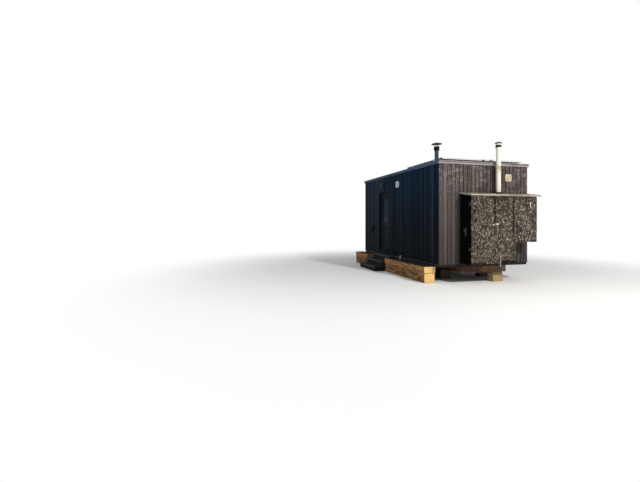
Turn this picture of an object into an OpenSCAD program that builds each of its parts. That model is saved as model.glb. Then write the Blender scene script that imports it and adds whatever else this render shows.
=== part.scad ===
// Flat-roofed shepherds hut on a steel chassis, propped on timber, with a
// sheet-clad lean-to cupboard on one end and a recessed entrance door on
// the left long side. Millimetres, +Z up. +Y runs away from the cupboard end.
// The origin is on the ground, under the centre of the whole outline.

/* [Hut body] */

// width over the wall boards
body_w = 2580; // [2450:5:2700]
// length over the wall boards
body_l = 4700; // [4600:5:5200]
// height of the lowest edge of the boards above the ground
skirt_z = 465; // [455:5:475]
// height of the roof sheet's underside
roof_z = 2955; // [2900:5:3000]
// thickness of the framed and lined wall behind the boards
wall_t = 100; // [90:5:110]
// thickness of the wall boards
board_t = 22; // [16:1:24]
// thickness of the roof deck
roof_deck_t = 55; // [45:5:70]

/* [Floor and chassis] */

// height of the chassis top
chassis_top = 400; // [395:1:405]
// depth of the chassis channel
channel_h = 160; // [140:10:180]
// flange width of the chassis channel
channel_w = 65; // [55:5:75]
// web and flange thickness of the chassis channel
channel_t = 8; // [6:1:10]
// distance between the two long chassis rails, outside faces
chassis_w = 1280; // [1180:10:1400]
// depth of the floor joists
joist_h = 120; // [110:5:125]
// thickness of the floor boards
floor_t = 25; // [20:1:28]

/* [Entrance door] */

// distance of the door opening from the cupboard end
door_y = 2750; // [2600:10:2800]
// clear width of the door opening
door_w = 740; // [700:5:780]
// clear height of the door opening
door_h = 1885; // [1800:5:1900]
// thickness of the door leaf
leaf_t = 40; // [36:1:44]
// gap between the leaf and its frame
leaf_gap = 6; // [6:0.5:8]
// thickness of the door frame timber
frame_t = 30; // [25:1:35]

/* [Cupboard] */

// left side of the cupboard from the hut's left corner
cup_x = 575; // [500:5:620]
// overall width of the cupboard
cup_w = 1865; // [1700:5:1900]
// depth of the cupboard in front of the boards
cup_d = 420; // [380:5:450]
// width of the tall part of the cupboard
cup_tall_w = 1258; // [1200:2:1300]
// height of the cupboard's bottom edge
cup_z = 485; // [480:5:500]
// height of the bottom edge of the raised part on the right
raised_z = 1004; // [900:2:1050]
// height of the cupboard roof against the wall
cup_roof_z = 2215; // [2180:5:2240]
// fall of the cupboard roof from the wall to its front edge
cup_fall = 68; // [40:2:90]
// thickness of the cupboard roof board
cup_roof_t = 40; // [30:1:45]
// thickness of the cupboard's sheet panels and doors
sheet_t = 18; // [15:1:20]
// gap round the cupboard doors
cup_gap = 6; // [6:0.5:8]

/* [Pipes and roof fittings] */

// outside diameter of the black stove flue
flue_d = 120; // [110:1:130]
// outside diameter of the white vent pipe
vent_d = 110; // [100:1:115]
// width of one solar panel
solar_w = 1134; // [1100:1:1140]
// length of one solar panel
solar_l = 1722; // [1650:1:1800]
// height of the solar panel frame
solar_h = 35; // [30:1:40]

/* [Steps and sleepers] */

// rise of each step
step_rise = 150; // [140:1:150]
// reach of the lowest step in front of the boards
step_out = 600; // [560:10:640]
// reach of the sleepers in front of the boards
sleeper_out = 280; // [250:5:300]
// height of the lower sleeper
sleeper_low_h = 243; // [235:1:245]

/* [Hidden] */

$fn = 64;

// colours
C_BOARD = [0.27, 0.25, 0.24];
C_GREY_WOOD = [0.56, 0.54, 0.52];
C_PINE = [0.72, 0.60, 0.44];
C_LINING = [0.78, 0.74, 0.68];
C_RUST = [0.36, 0.20, 0.14];
C_SLEEPER = [0.42, 0.33, 0.25];
C_SHEET = [0.40, 0.36, 0.31];
C_BLACK = [0.05, 0.05, 0.06];
C_WHITE = [0.90, 0.89, 0.85];
C_METAL = [0.75, 0.76, 0.77];

// levels, from the chassis up
deck_z = chassis_top + joist_h;
floor_z = deck_z + floor_t;
wall_top = roof_z - roof_deck_t;
joist_w = 45;
bay_depth = 22;
membrane_t = 15;
membrane_z = roof_z + membrane_t;
fascia_t = 22;
fascia_h = 75;
trim_out = 25;
trim_in = 45;
trim_t = 5;

// timber blocks under the chassis
front_block_x = body_w / 2 + 385;
block_in = 850;

// wall faces
face_in = board_t + wall_t;
in_x1 = body_w - face_in;
in_y1 = body_l - face_in;
mid_x = body_w / 2;

// entrance door
sill_z = floor_z + 15;
head_z = sill_z + door_h;
door_y1 = door_y + door_w;
leaf_x = face_in - leaf_t;
leaf_y0 = door_y + leaf_gap + 1;
leaf_y1 = door_y1 - leaf_gap;
leaf_z0 = sill_z + leaf_gap;
leaf_z1 = head_z - leaf_gap;
stile_w = 85;
top_rail_w = 180;
lock_rail_z = 1460;
lock_rail_w = 120;
hinge_out = 12;
hinge_x = face_in + hinge_out;
hinge_y = leaf_y1 + leaf_gap / 2;
hinge_r = 6;
hinge_len = 100;
hinge_zs = [leaf_z0 + 180, leaf_z0 + 900, leaf_z1 - 280];
pin_fit = 0.05;

// vents share one height on both walls
vent_z = 2604;
vent_side = 185;
vent_hole_d = 100;
end_vent_x = 1980;
side_vent_y = 2146;

// solar panels lie flat at the cupboard end
solar_y = 80;
solar_x = 140;
solar_gap = 60;
solar_top = 3058;
rail_h = 40;
rail_w = 40;

// flue
flue_x = mid_x;
flue_y = 2106;
flue_top = 3790;
collar_z = 3668;
cap_z = 3854;
cap_d = 310;

// white vent pipe
vp_x = 1570;
vp_y = -135;
mesh_z = 3319;
bracket_z = 2780;

// cupboard
cup_x1 = cup_x + cup_w;
tall_x1 = cup_x + cup_tall_w;
seam_x = 1222;
right_seam_x = 1744;
kick_z = 655;
post = 45;
front_y = -cup_d;
back_of_sheet = front_y + sheet_t;
frame_y = back_of_sheet + cup_gap;
roof_over = 30;
roof_left_over = 25;
roof_right_over = 100;
cup_door_z0 = kick_z + cup_gap;
cup_door_z1 = 2098;
cup_hinge_out = 11;
cup_hinge_r = 5;
cup_hinge_len = 80;
cup_hinge_zs = [cup_door_z0 + 150, cup_door_z1 - 230];
left_hinge_x = cup_x - 3;
middle_hinge_x = right_seam_x;
cup_hinge_y = front_y - cup_hinge_out;

// sleepers and steps
sleeper_in = 35;
sleeper_up_h = chassis_top - sleeper_low_h;
near_y0 = 210;
near_y1 = 2430;
far_y0 = 3770;
far_y1 = 4900;
step_y0 = 2455;
step_y1 = 3735;
step_t = 38;
step_mid_out = 345;
step_top_out = 110;
step_back = board_t;

// underside of the cupboard roof at a distance y in front of the wall (y is negative)
roof_slope = cup_fall / (cup_d + roof_over);
function cup_under(y) = cup_roof_z - cup_roof_t + roof_slope * y;

// outline of everything, for the origin
out_x0 = -step_out;
out_x1 = body_w + trim_out;
out_y0 = front_y - roof_over;
out_y1 = far_y1;
shift_x = -(out_x0 + out_x1) / 2;
shift_y = -(out_y0 + out_y1) / 2;

module site() {
  translate([shift_x, shift_y, 0]) children();
}

// box between two corners
module span(a, b) {
  translate(a) cube(b - a);
}

// a shape drawn in the Y-Z plane, pushed along X from x0 to x1
module along_x(x0, x1) {
  translate([x0, 0, 0]) rotate([90, 0, 90]) linear_extrude(x1 - x0) children();
}

// a shape drawn in the X-Z plane, pushed along Y from y0 to y1
module along_y(y0, y1) {
  translate([0, y1, 0]) rotate([90, 0, 0]) linear_extrude(y1 - y0) children();
}

// a shape drawn in the X-Y plane, pushed up from z0 to z1
module upright(z0, z1) {
  translate([0, 0, z0]) linear_extrude(z1 - z0) children();
}

// channel section with its open side towards +X
module channel_profile() {
  difference() {
    square([channel_w, channel_h]);
    translate([channel_t, channel_t]) square([channel_w, channel_h - 2 * channel_t]);
  }
}

// square with four round corners, centred
module round_square(side, r) {
  k = side / 2 - r;
  square([side, side - 2 * r], center = true);
  square([side - 2 * r, side], center = true);
  for (i = [-1, 1], j = [-1, 1]) translate([i * k, j * k]) circle(r);
}

// fixed half of a knuckle hinge on the Z axis: two end knuckles and the pin
module knuckles_fixed(r, len) {
  k = len / 3;
  cylinder(r = r, h = k);
  translate([0, 0, len - k]) cylinder(r = r, h = k);
  cylinder(r = r / 2, h = len);
}

// moving half: the middle knuckle, with a running fit on the pin
module knuckle_moving(r, len) {
  k = len / 3;
  difference() {
    translate([0, 0, k + 0.5]) children(0);
    cylinder(r = r / 2 + pin_fit, h = len);
  }
}

module chassis_frame() {
  x0 = mid_x - chassis_w / 2;
  x1 = mid_x + chassis_w / 2;
  z0 = chassis_top - channel_h;
  y0 = 30;
  y1 = body_l - 30;
  color(C_RUST) site() {
    translate([x0, 0, z0]) along_y(y0, y1) channel_profile();
    translate([x1, 0, z0]) mirror([1, 0, 0]) along_y(y0, y1) channel_profile();
    for (y = [y0, y0 + 1350, y0 + 2700, y1 - channel_w])
      translate([0, y, z0]) along_x(x0 + channel_t, x1 - channel_t) difference() {
        square([channel_w, channel_h]);
        translate([y == y0 ? channel_t : -1, channel_t])
          square([channel_w - channel_t + 1, channel_h - 2 * channel_t]);
      }
    // short plate welded on the front cross channel
    span([mid_x - 140, y0 - 10, z0 + 2], [x1 - 80, y0, chassis_top - 2]);
  }
}

module block_stack(x, y, w, d) {
  h = chassis_top - channel_h;
  span([x - w / 2, y - d / 2, 0], [x + w / 2, y + d / 2, h - 35]);
  span([x - w / 2 + 15, y - d / 2 + 12, h - 35], [x + w / 2 - 15, y + d / 2 - 12, h]);
}

module support_blocks() {
  color(C_PINE) site() {
    block_stack(front_block_x, 100, 300, 200);
    for (y = [block_in, body_l / 2, body_l - block_in], s = [-1, 1])
      block_stack(mid_x + s * (chassis_w - channel_w) / 2, y, 300, 220);
  }
}

module floor_frame() {
  color(C_PINE) site() difference() {
    span([board_t, board_t, chassis_top], [body_w - board_t, body_l - board_t, deck_z]);
    // bays between the joists, closed by the insulation's underside sheet
    for (i = [0:9]) {
      pitch = (body_l - 2 * board_t - joist_w) / 10;
      y = board_t + joist_w + i * pitch;
      span([board_t + joist_w, y, chassis_top - 1],
        [body_w - board_t - joist_w, y + pitch - joist_w, chassis_top + bay_depth]);
    }
  }
}

module floor_deck() {
  color(C_PINE) site()
    span([board_t, board_t, deck_z], [body_w - board_t, body_l - board_t, floor_z]);
}

module vent_bore_y(x) {
  translate([x, -60, vent_z]) rotate([-90, 0, 0]) cylinder(d = vent_hole_d, h = 260);
}

module vent_bore_x(y) {
  translate([-60, y, vent_z]) rotate([0, 90, 0]) cylinder(d = vent_hole_d, h = 260);
}

module front_end_wall() {
  color(C_LINING) site() difference() {
    span([board_t, board_t, floor_z], [body_w - board_t, face_in, wall_top]);
    vent_bore_y(end_vent_x);
  }
}

module far_end_wall() {
  color(C_LINING) site()
    span([board_t, in_y1, floor_z], [body_w - board_t, body_l - board_t, wall_top]);
}

module back_side_wall() {
  color(C_LINING) site()
    span([in_x1, face_in, floor_z], [body_w - board_t, in_y1, wall_top]);
}

module door_side_wall_near() {
  color(C_LINING) site() difference() {
    span([board_t, face_in, floor_z], [face_in, door_y - frame_t, wall_top]);
    vent_bore_x(side_vent_y);
  }
}

module door_side_wall_far() {
  color(C_LINING) site()
    span([board_t, door_y1 + frame_t, floor_z], [face_in, in_y1, wall_top]);
}

module wall_over_door() {
  color(C_LINING) site()
    span([board_t, door_y - frame_t, head_z + frame_t], [face_in, door_y1 + frame_t, wall_top]);
}

module front_end_boards() {
  color(C_BOARD) site() difference() {
    span([0, 0, skirt_z], [body_w, board_t, roof_z]);
    vent_bore_y(end_vent_x);
  }
}

module far_end_boards() {
  color(C_BOARD) site() span([0, body_l - board_t, skirt_z], [body_w, body_l, roof_z]);
}

module back_side_boards() {
  color(C_BOARD) site()
    span([body_w - board_t, board_t, skirt_z], [body_w, body_l - board_t, roof_z]);
}

module door_side_boards() {
  color(C_BOARD) site() difference() {
    span([0, board_t, skirt_z], [board_t, body_l - board_t, roof_z]);
    span([-1, door_y, floor_z - 10], [board_t + 1, door_y1, head_z]);
    vent_bore_x(side_vent_y);
  }
}

module skirt_strip() {
  color(C_METAL) site() difference() {
    span([-10, -10, skirt_z - 8], [body_w + 10, body_l + 10, skirt_z]);
    span([board_t, board_t, skirt_z - 9], [body_w - board_t, body_l - board_t, skirt_z + 1]);
  }
}

module roof_deck() {
  color(C_PINE) site() difference() {
    span([board_t, board_t, wall_top], [body_w - board_t, body_l - board_t, roof_z]);
    translate([flue_x, flue_y, wall_top - 1]) cylinder(d = flue_d, h = 100);
  }
}

module roof_membrane() {
  color(C_BLACK) site() difference() {
    span([0, 0, roof_z], [body_w, body_l, membrane_z]);
    translate([flue_x, flue_y, roof_z - 1]) cylinder(d = flue_d, h = 100);
  }
}

module fascia() {
  color(C_GREY_WOOD) site() difference() {
    span([-fascia_t, -fascia_t, membrane_z - fascia_h],
      [body_w + fascia_t, body_l + fascia_t, membrane_z]);
    span([0, 0, membrane_z - fascia_h - 1], [body_w, body_l, membrane_z + 1]);
  }
}

module roof_edge_trim() {
  color(C_METAL) site() {
    difference() {
      span([-trim_out, -trim_out, membrane_z],
        [body_w + trim_out, body_l + trim_out, membrane_z + trim_t]);
      span([trim_in, trim_in, membrane_z - 1],
        [body_w - trim_in, body_l - trim_in, membrane_z + trim_t + 1]);
    }
    difference() {
      span([-trim_out, -trim_out, membrane_z - 14],
        [body_w + trim_out, body_l + trim_out, membrane_z]);
      span([-fascia_t, -fascia_t, membrane_z - 15],
        [body_w + fascia_t, body_l + fascia_t, membrane_z + 1]);
    }
  }
}

// frame with a lower lip, and the glazed laminate held in it
module solar_panel(x) {
  z0 = solar_top - solar_h;
  color(C_WHITE) site() difference() {
    span([x, solar_y, z0], [x + solar_w, solar_y + solar_l, solar_top]);
    span([x + 11, solar_y + 11, solar_top - 2],
      [x + solar_w - 11, solar_y + solar_l - 11, solar_top + 1]);
    span([x + 28, solar_y + 28, z0 - 1],
      [x + solar_w - 28, solar_y + solar_l - 28, z0 + 3]);
    span([x + 3, solar_y + 3, z0 + 2],
      [x + solar_w - 3, solar_y + solar_l - 3, solar_top - 8]);
  }
}

module solar_panel_left() {
  solar_panel(solar_x);
}

module solar_panel_right() {
  solar_panel(solar_x + solar_w + solar_gap);
}

module panel_rails() {
  z1 = solar_top - solar_h;
  color(C_METAL) site() for (y = [solar_y + 330, solar_y + solar_l - 370]) {
    span([110, y, z1 - rail_h], [body_w - 110, y + rail_w, z1]);
    for (x = [240, 900, 1640, 2300])
      span([x, y - 15, membrane_z], [x + 60, y + rail_w + 15, z1 - rail_h]);
  }
}

module stove_flue() {
  z0 = wall_top - 60;
  color(C_BLACK) site() translate([flue_x, flue_y, z0]) difference() {
    cylinder(d = flue_d, h = flue_top - z0);
    translate([0, 0, -1]) cylinder(d = flue_d - 8, h = flue_top - z0 + 2);
  }
}

module flue_flashing() {
  color(C_BLACK) site() translate([flue_x, flue_y, membrane_z]) difference() {
    union() {
      translate([-150, -150, 0]) cube([300, 300, 3]);
      translate([0, 0, 3]) cylinder(d1 = 220, d2 = flue_d + 10, h = 80);
    }
    translate([0, 0, -1]) cylinder(d = flue_d, h = 100);
  }
}

// sleeve over the flue's top, three posts and a shallow disc
module stove_cowl() {
  sleeve_h = 116;
  color(C_BLACK) site() translate([flue_x, flue_y, 0]) {
    translate([0, 0, collar_z]) difference() {
      cylinder(d = 165, h = sleeve_h);
      translate([0, 0, -1]) cylinder(d = flue_d, h = sleeve_h + 2);
    }
    for (a = [30, 150, 270]) rotate([0, 0, a])
      translate([69, 0, collar_z + sleeve_h - 1]) cylinder(d = 10, h = cap_z - collar_z - sleeve_h + 2, $fn = 24);
    translate([0, 0, cap_z]) cylinder(d = cap_d, h = 14);
    translate([0, 0, cap_z + 13]) cylinder(d1 = cap_d - 16, d2 = 60, h = 39);
  }
}

module vent_pipe() {
  z0 = cup_under(vp_y) - 80;
  color(C_WHITE) site() translate([vp_x, vp_y, z0]) difference() {
    union() {
      cylinder(d = vent_d, h = mesh_z - z0);
      // socket at the top
      translate([0, 0, mesh_z - z0 - 62]) cylinder(d = vent_d + 14, h = 62);
    }
    translate([0, 0, -1]) cylinder(d = vent_d - 8, h = mesh_z - z0 + 2);
  }
}

// mesh cage, hub above it and a thin coned cap
module vent_pipe_cowl() {
  cage_h = 66;
  cage_d = vent_d + 26;
  color(C_WHITE) site() translate([vp_x, vp_y, mesh_z]) {
    difference() {
      cylinder(d = cage_d, h = cage_h);
      translate([0, 0, -1]) cylinder(d = cage_d - 8, h = cage_h - 4);
      for (i = [0:7]) rotate([0, 0, i * 45])
        translate([0, -16, 8]) cube([90, 32, cage_h - 16]);
    }
    // rim that seats the cage on the pipe's socket
    difference() {
      cylinder(d = cage_d, h = 5);
      translate([0, 0, -1]) cylinder(d = vent_d - 8, h = 7);
    }
    translate([0, 0, cage_h - 1]) cylinder(d = vent_d + 2, h = 42);
    translate([0, 0, cage_h + 40]) cylinder(d = 165, h = 12);
    translate([0, 0, cage_h + 52]) cylinder(d1 = 165, d2 = 30, h = 32);
  }
}

module vent_pipe_bracket() {
  color(C_METAL) site() {
    difference() {
      union() {
        translate([vp_x, vp_y, bracket_z]) cylinder(d = vent_d + 10, h = 30);
        span([vp_x - 15, vp_y + vent_d / 2 - 5, bracket_z], [vp_x + 15, -4, bracket_z + 30]);
        span([vp_x - 60, -4, bracket_z - 5], [vp_x + 60, 0, bracket_z + 35]);
      }
      translate([vp_x, vp_y, bracket_z - 1]) cylinder(d = vent_d, h = 32);
    }
  }
}

// square louvred cover with round corners, facing -Z before it is turned
module vent_cover() {
  difference() {
    union() {
      linear_extrude(12) round_square(vent_side, 32);
      translate([0, 0, 12]) linear_extrude(8) round_square(vent_side - 24, 26);
    }
    translate([0, 0, -1]) linear_extrude(14) round_square(vent_side - 40, 20);
    for (i = [-2:2]) translate([-60, i * 26 - 6, 10]) cube([120, 12, 20]);
  }
}

module end_vent() {
  color([0.78, 0.70, 0.60]) site()
    translate([end_vent_x, 0, vent_z]) rotate([90, 0, 0]) vent_cover();
}

module side_vent() {
  color(C_WHITE) site()
    translate([0, side_vent_y, vent_z]) rotate([90, 0, -90]) vent_cover();
}

module door_frame() {
  color(C_BOARD) site() {
    difference() {
      span([board_t, door_y - frame_t, floor_z], [face_in, door_y1 + frame_t, head_z + frame_t]);
      span([board_t - 1, door_y, sill_z], [face_in + 1, door_y1, head_z]);
    }
    // stop bead in front of the leaf
    difference() {
      span([leaf_x - 24, door_y, sill_z], [leaf_x - leaf_gap, door_y1, head_z]);
      span([leaf_x - 25, door_y + 13, sill_z - 1], [leaf_x, door_y1 - 13, head_z - 13]);
    }
    // sill nosing
    span([-35, door_y, floor_z - 10], [board_t, door_y1, sill_z]);
  }
}

module door_leaf() {
  glass_z1 = leaf_z1 - top_rail_w;
  panel_z1 = lock_rail_z - lock_rail_w;
  panel_z0 = leaf_z0 + 180;
  color(C_BOARD) site() difference() {
    span([leaf_x, leaf_y0, leaf_z0], [face_in, leaf_y1, leaf_z1]);
    span([leaf_x - 1, leaf_y0 + stile_w, lock_rail_z], [face_in + 1, leaf_y1 - stile_w, glass_z1]);
    // sunk panel on both faces
    span([leaf_x - 1, leaf_y0 + stile_w, panel_z0], [leaf_x + 11, leaf_y1 - stile_w, panel_z1]);
    span([face_in - 11, leaf_y0 + stile_w, panel_z0], [face_in + 1, leaf_y1 - stile_w, panel_z1]);
  }
}

module door_glass() {
  x = leaf_x + leaf_t / 2;
  color([0.55, 0.65, 0.70, 0.5]) site()
    span([x - 7, leaf_y0 + stile_w, lock_rail_z], [x + 7, leaf_y1 - stile_w, leaf_z1 - top_rail_w]);
}

module door_ironmongery() {
  handle_y = leaf_y0 + 42;
  handle_z = 1395;
  color(C_METAL) site() {
    for (s = [-1, 1]) {
      x = s < 0 ? leaf_x : face_in;
      translate([x, handle_y, handle_z]) rotate([0, s * 90, 0]) {
        translate([-90, -18, 0]) cube([180, 36, 4]);
        cylinder(d = 18, h = 38);
      }
      x1 = x + s * 38;
      span([min(x1, x1 - s * 14), handle_y - 8, handle_z - 9],
        [max(x1, x1 - s * 14), handle_y + 110, handle_z + 9]);
    }
    // moving hinge leaves
    for (z = hinge_zs) {
      k = hinge_len / 3;
      translate([hinge_x, hinge_y, z]) knuckle_moving(hinge_r, hinge_len) union() {
        cylinder(r = hinge_r, h = k - 1);
        translate([-hinge_out, -hinge_r, 0]) cube([hinge_out, 3, k - 1]);
      }
      span([face_in, leaf_y1 - 40, z], [face_in + 3, leaf_y1, z + hinge_len]);
    }
  }
}

module door_hinges() {
  color(C_METAL) site() for (z = hinge_zs) {
    k = hinge_len / 3;
    translate([hinge_x, hinge_y, z]) knuckles_fixed(hinge_r, hinge_len);
    for (dz = [0, hinge_len - k]) translate([hinge_x - hinge_out, hinge_y + hinge_r - 3, z + dz])
      cube([hinge_out, 3, k]);
    span([face_in, door_y1, z], [face_in + 3, door_y1 + 28, z + hinge_len]);
  }
}

module door_lamp() {
  y = 3150;
  z = 2675;
  color(C_WHITE) site() translate([0, y, z]) rotate([0, -90, 0]) {
    cylinder(d = 130, h = 22);
    translate([0, 0, 22]) cylinder(d = 108, h = 34);
    translate([0, 0, 56]) cylinder(d = 80, h = 14);
  }
}

module wall_box() {
  y = 3950;
  color(C_BLACK) site() {
    span([-42, y - 55, 1157], [0, y + 55, 1357]);
    span([-58, y - 45, 1175], [-42, y + 45, 1300]);
  }
}

// vertical Y-Z panel of the cupboard, with its top cut to the roof slope
module cup_side(x0, x1, z0, y0 = frame_y) {
  along_x(x0, x1) polygon([[y0, z0], [0, z0], [0, cup_under(0)], [y0, cup_under(y0)]]);
}

module cupboard_frame() {
  top_y = frame_y + post;
  color(C_PINE) site() {
    // posts
    along_x(cup_x + sheet_t, cup_x + sheet_t + post)
      polygon([[frame_y, cup_z + sheet_t], [top_y, cup_z + sheet_t],
        [top_y, cup_under(top_y)], [frame_y, cup_under(frame_y)]]);
    along_x(tall_x1 - sheet_t - 68, tall_x1 - sheet_t)
      polygon([[frame_y, cup_z + sheet_t], [top_y, cup_z + sheet_t],
        [top_y, cup_under(top_y)], [frame_y, cup_under(frame_y)]]);
    along_x(cup_x1 - sheet_t - post, cup_x1 - sheet_t)
      polygon([[frame_y, raised_z + sheet_t], [top_y, raised_z + sheet_t],
        [top_y, cup_under(top_y)], [frame_y, cup_under(frame_y)]]);
    // head rails under the roof
    for (r = [[cup_x + sheet_t + post, tall_x1 - sheet_t - 68], [tall_x1, cup_x1 - sheet_t - post]]) {
      along_x(r[0], r[1]) polygon([[frame_y, cup_under(frame_y) - 60], [top_y, cup_under(frame_y) - 60],
        [top_y, cup_under(top_y)], [frame_y, cup_under(frame_y)]]);
      along_x(r[0], r[1]) polygon([[-post, cup_under(0) - 70], [0, cup_under(0) - 70],
        [0, cup_under(0)], [-post, cup_under(-post)]]);
    }
    // rail behind the top of the kick board
    span([cup_x + sheet_t + post, frame_y, kick_z - post], [tall_x1 - sheet_t - 68, top_y, kick_z]);
    // floors of the two parts
    span([cup_x + sheet_t, frame_y, cup_z], [tall_x1 - sheet_t, 0, cup_z + sheet_t]);
    span([tall_x1, frame_y, raised_z], [cup_x1 - sheet_t, 0, raised_z + sheet_t]);
  }
}

module cupboard_sides() {
  color(C_SHEET) site() {
    cup_side(cup_x, cup_x + sheet_t, cup_z);
    cup_side(tall_x1 - sheet_t, tall_x1, cup_z);
    cup_side(cup_x1 - sheet_t, cup_x1, raised_z);
  }
}

module cupboard_roof() {
  color(C_GREY_WOOD) site() difference() {
    along_x(cup_x - roof_left_over, cup_x1 + roof_right_over)
      polygon([[out_y0, cup_under(out_y0)], [0, cup_under(0)],
        [0, cup_roof_z], [out_y0, cup_roof_z - cup_fall]]);
    translate([vp_x, vp_y, 2000]) cylinder(d = vent_d, h = 400);
  }
}

// L-shaped sheet: the raised front and the strip beside the tall doors
module cupboard_right_panel() {
  x0 = right_seam_x + 3;
  color(C_SHEET) site() {
    span([x0, front_y, raised_z], [cup_x1, back_of_sheet, cup_door_z1]);
    span([x0, front_y, cup_z], [tall_x1, back_of_sheet, raised_z]);
    // packers that stand the sheet off the frame
    span([tall_x1 - sheet_t - 60, back_of_sheet, cup_z + sheet_t + 5], [tall_x1, frame_y, cup_door_z1 - 10]);
    span([cup_x1 - 60, back_of_sheet, raised_z + sheet_t + 5], [cup_x1, frame_y, cup_door_z1 - 10]);
    // narrow strap near the top
    span([2233, front_y - 8, 1858], [2247, front_y, 1968]);
  }
}

module cupboard_kick_board() {
  color(C_SHEET) site() {
    span([cup_x, front_y, cup_z], [right_seam_x + 3, back_of_sheet, kick_z]);
    span([cup_x, back_of_sheet, cup_z], [right_seam_x + 3, frame_y, kick_z - 12]);
  }
}

// sheet leaf of a cupboard door
module cup_door(x0, x1) {
  span([x0, front_y, cup_door_z0], [x1, back_of_sheet, cup_door_z1]);
}

// moving hinge leaves of a cupboard door; side is +1 where the leaf lies to the right of its pins
module cup_hinge_leaves(x, side, reach) {
  k = cup_hinge_len / 3;
  for (z = cup_hinge_zs) {
    translate([x, cup_hinge_y, z]) knuckle_moving(cup_hinge_r, cup_hinge_len) union() {
      cylinder(r = cup_hinge_r, h = k - 1);
      translate([side > 0 ? cup_hinge_r - 3 : -cup_hinge_r, 0, 0]) cube([3, cup_hinge_out, k - 1]);
    }
    span([side > 0 ? x + cup_hinge_r - 3 : x - reach, front_y - 3, z],
      [side > 0 ? x + reach : x - cup_hinge_r + 3, front_y, z + cup_hinge_len]);
  }
}

module cupboard_hinges() {
  k = cup_hinge_len / 3;
  color(C_METAL) site() for (z = cup_hinge_zs) {
    // left door: strap on the outside of the cupboard's left side
    translate([left_hinge_x, cup_hinge_y, z]) knuckles_fixed(cup_hinge_r, cup_hinge_len);
    for (dz = [0, cup_hinge_len - k])
      span([left_hinge_x - 4, cup_hinge_y, z + dz], [left_hinge_x - 1, frame_y + 50, z + dz + k]);
    span([left_hinge_x - 1, frame_y + 2, z], [cup_x, frame_y + 50, z + cup_hinge_len]);
    // middle door: flap on the front of the right panel
    translate([middle_hinge_x, cup_hinge_y, z]) knuckles_fixed(cup_hinge_r, cup_hinge_len);
    for (dz = [0, cup_hinge_len - k])
      span([middle_hinge_x + cup_hinge_r - 3, cup_hinge_y, z + dz],
        [middle_hinge_x + cup_hinge_r, front_y, z + dz + k]);
    span([middle_hinge_x + 3, front_y - 3, z], [middle_hinge_x + 45, front_y, z + cup_hinge_len]);
  }
}

module cupboard_left_door() {
  color(C_SHEET) site() cup_door(cup_x + 2, seam_x - 3.5);
}

module cupboard_middle_door() {
  color(C_SHEET) site() cup_door(seam_x + 3.5, right_seam_x - 3);
}

module cupboard_left_fittings() {
  color(C_METAL) site() {
    cup_hinge_leaves(left_hinge_x, 1, 60);
    span([1165, front_y - 3, 1405], [1205, front_y, 1445]);
    translate([1185, front_y - 3, 1425]) rotate([90, 0, 0]) difference() {
      cylinder(d = 30, h = 14);
      translate([0, 0, -1]) cylinder(d = 16, h = 16);
    }
  }
}

module cupboard_middle_fittings() {
  color(C_METAL) site() {
    cup_hinge_leaves(middle_hinge_x, -1, 50);
    span([1240, front_y - 4, 1420], [1330, front_y, 1460]);
    translate([1300, front_y - 4, 1440]) rotate([90, 0, 0]) cylinder(d = 22, h = 16);
  }
}

// thin drain down the kick board, turned in at a round valve head
module overflow_pipe() {
  drain_y = front_y - 14;
  color(C_WHITE) site() {
    translate([1366, drain_y, 436]) cylinder(d = 22, h = 248);
    translate([1366, drain_y, 436]) cylinder(d = 28, h = 30);
    translate([1366, drain_y, 672]) rotate([-90, 0, 0]) cylinder(d = 22, h = 14);
    translate([1366, drain_y, 684]) sphere(d = 28);
    translate([1366, drain_y, 684]) rotate([0, 90, 0]) cylinder(d = 22, h = 24);
  }
}

// waste pipe at the foot of the door side, and a swan-neck pipe out of the kick board
module small_pipes() {
  waste_y = 1918;
  neck_x = 1020;
  neck_z = 602;
  neck_r = 62;
  neck_y = front_y - 16;
  color(C_WHITE) site() {
    translate([-30, waste_y, chassis_top + 8]) cylinder(d = 32, h = 104);
    translate([-30, waste_y, 494]) sphere(d = 32);
    translate([-30, waste_y, 494]) rotate([0, 90, 0]) cylinder(d = 32, h = 30);
    translate([neck_x, neck_y, neck_z]) rotate([90, 0, 0]) rotate_extrude(angle = 180)
      translate([neck_r, 0]) circle(d = 20);
    translate([neck_x - neck_r, neck_y, neck_z - 30]) cylinder(d = 20, h = 30);
    translate([neck_x - neck_r, neck_y, neck_z - 30]) sphere(d = 20);
    translate([neck_x - neck_r, neck_y, neck_z - 30]) rotate([-90, 0, 0]) cylinder(d = 20, h = 16);
    translate([neck_x - neck_r, front_y - 4, neck_z - 30]) rotate([-90, 0, 0]) cylinder(d = 40, h = 4);
    translate([neck_x + neck_r, neck_y, neck_z - 66]) cylinder(d = 20, h = 66);
  }
}

module gas_regulator() {
  y = -225;
  z = 1262;
  color([0.55, 0.62, 0.68]) site() {
    span([cup_x - 5, y - 35, z - 110], [cup_x, y + 35, z + 95]);
    translate([cup_x - 5, y, z + 25]) rotate([0, -90, 0]) cylinder(d = 95, h = 26);
    translate([cup_x - 31, y, z + 25]) rotate([0, -90, 0]) cylinder(d1 = 80, d2 = 56, h = 14);
    translate([cup_x - 20, y, z - 85]) cylinder(d = 22, h = 80);
  }
}

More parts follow.
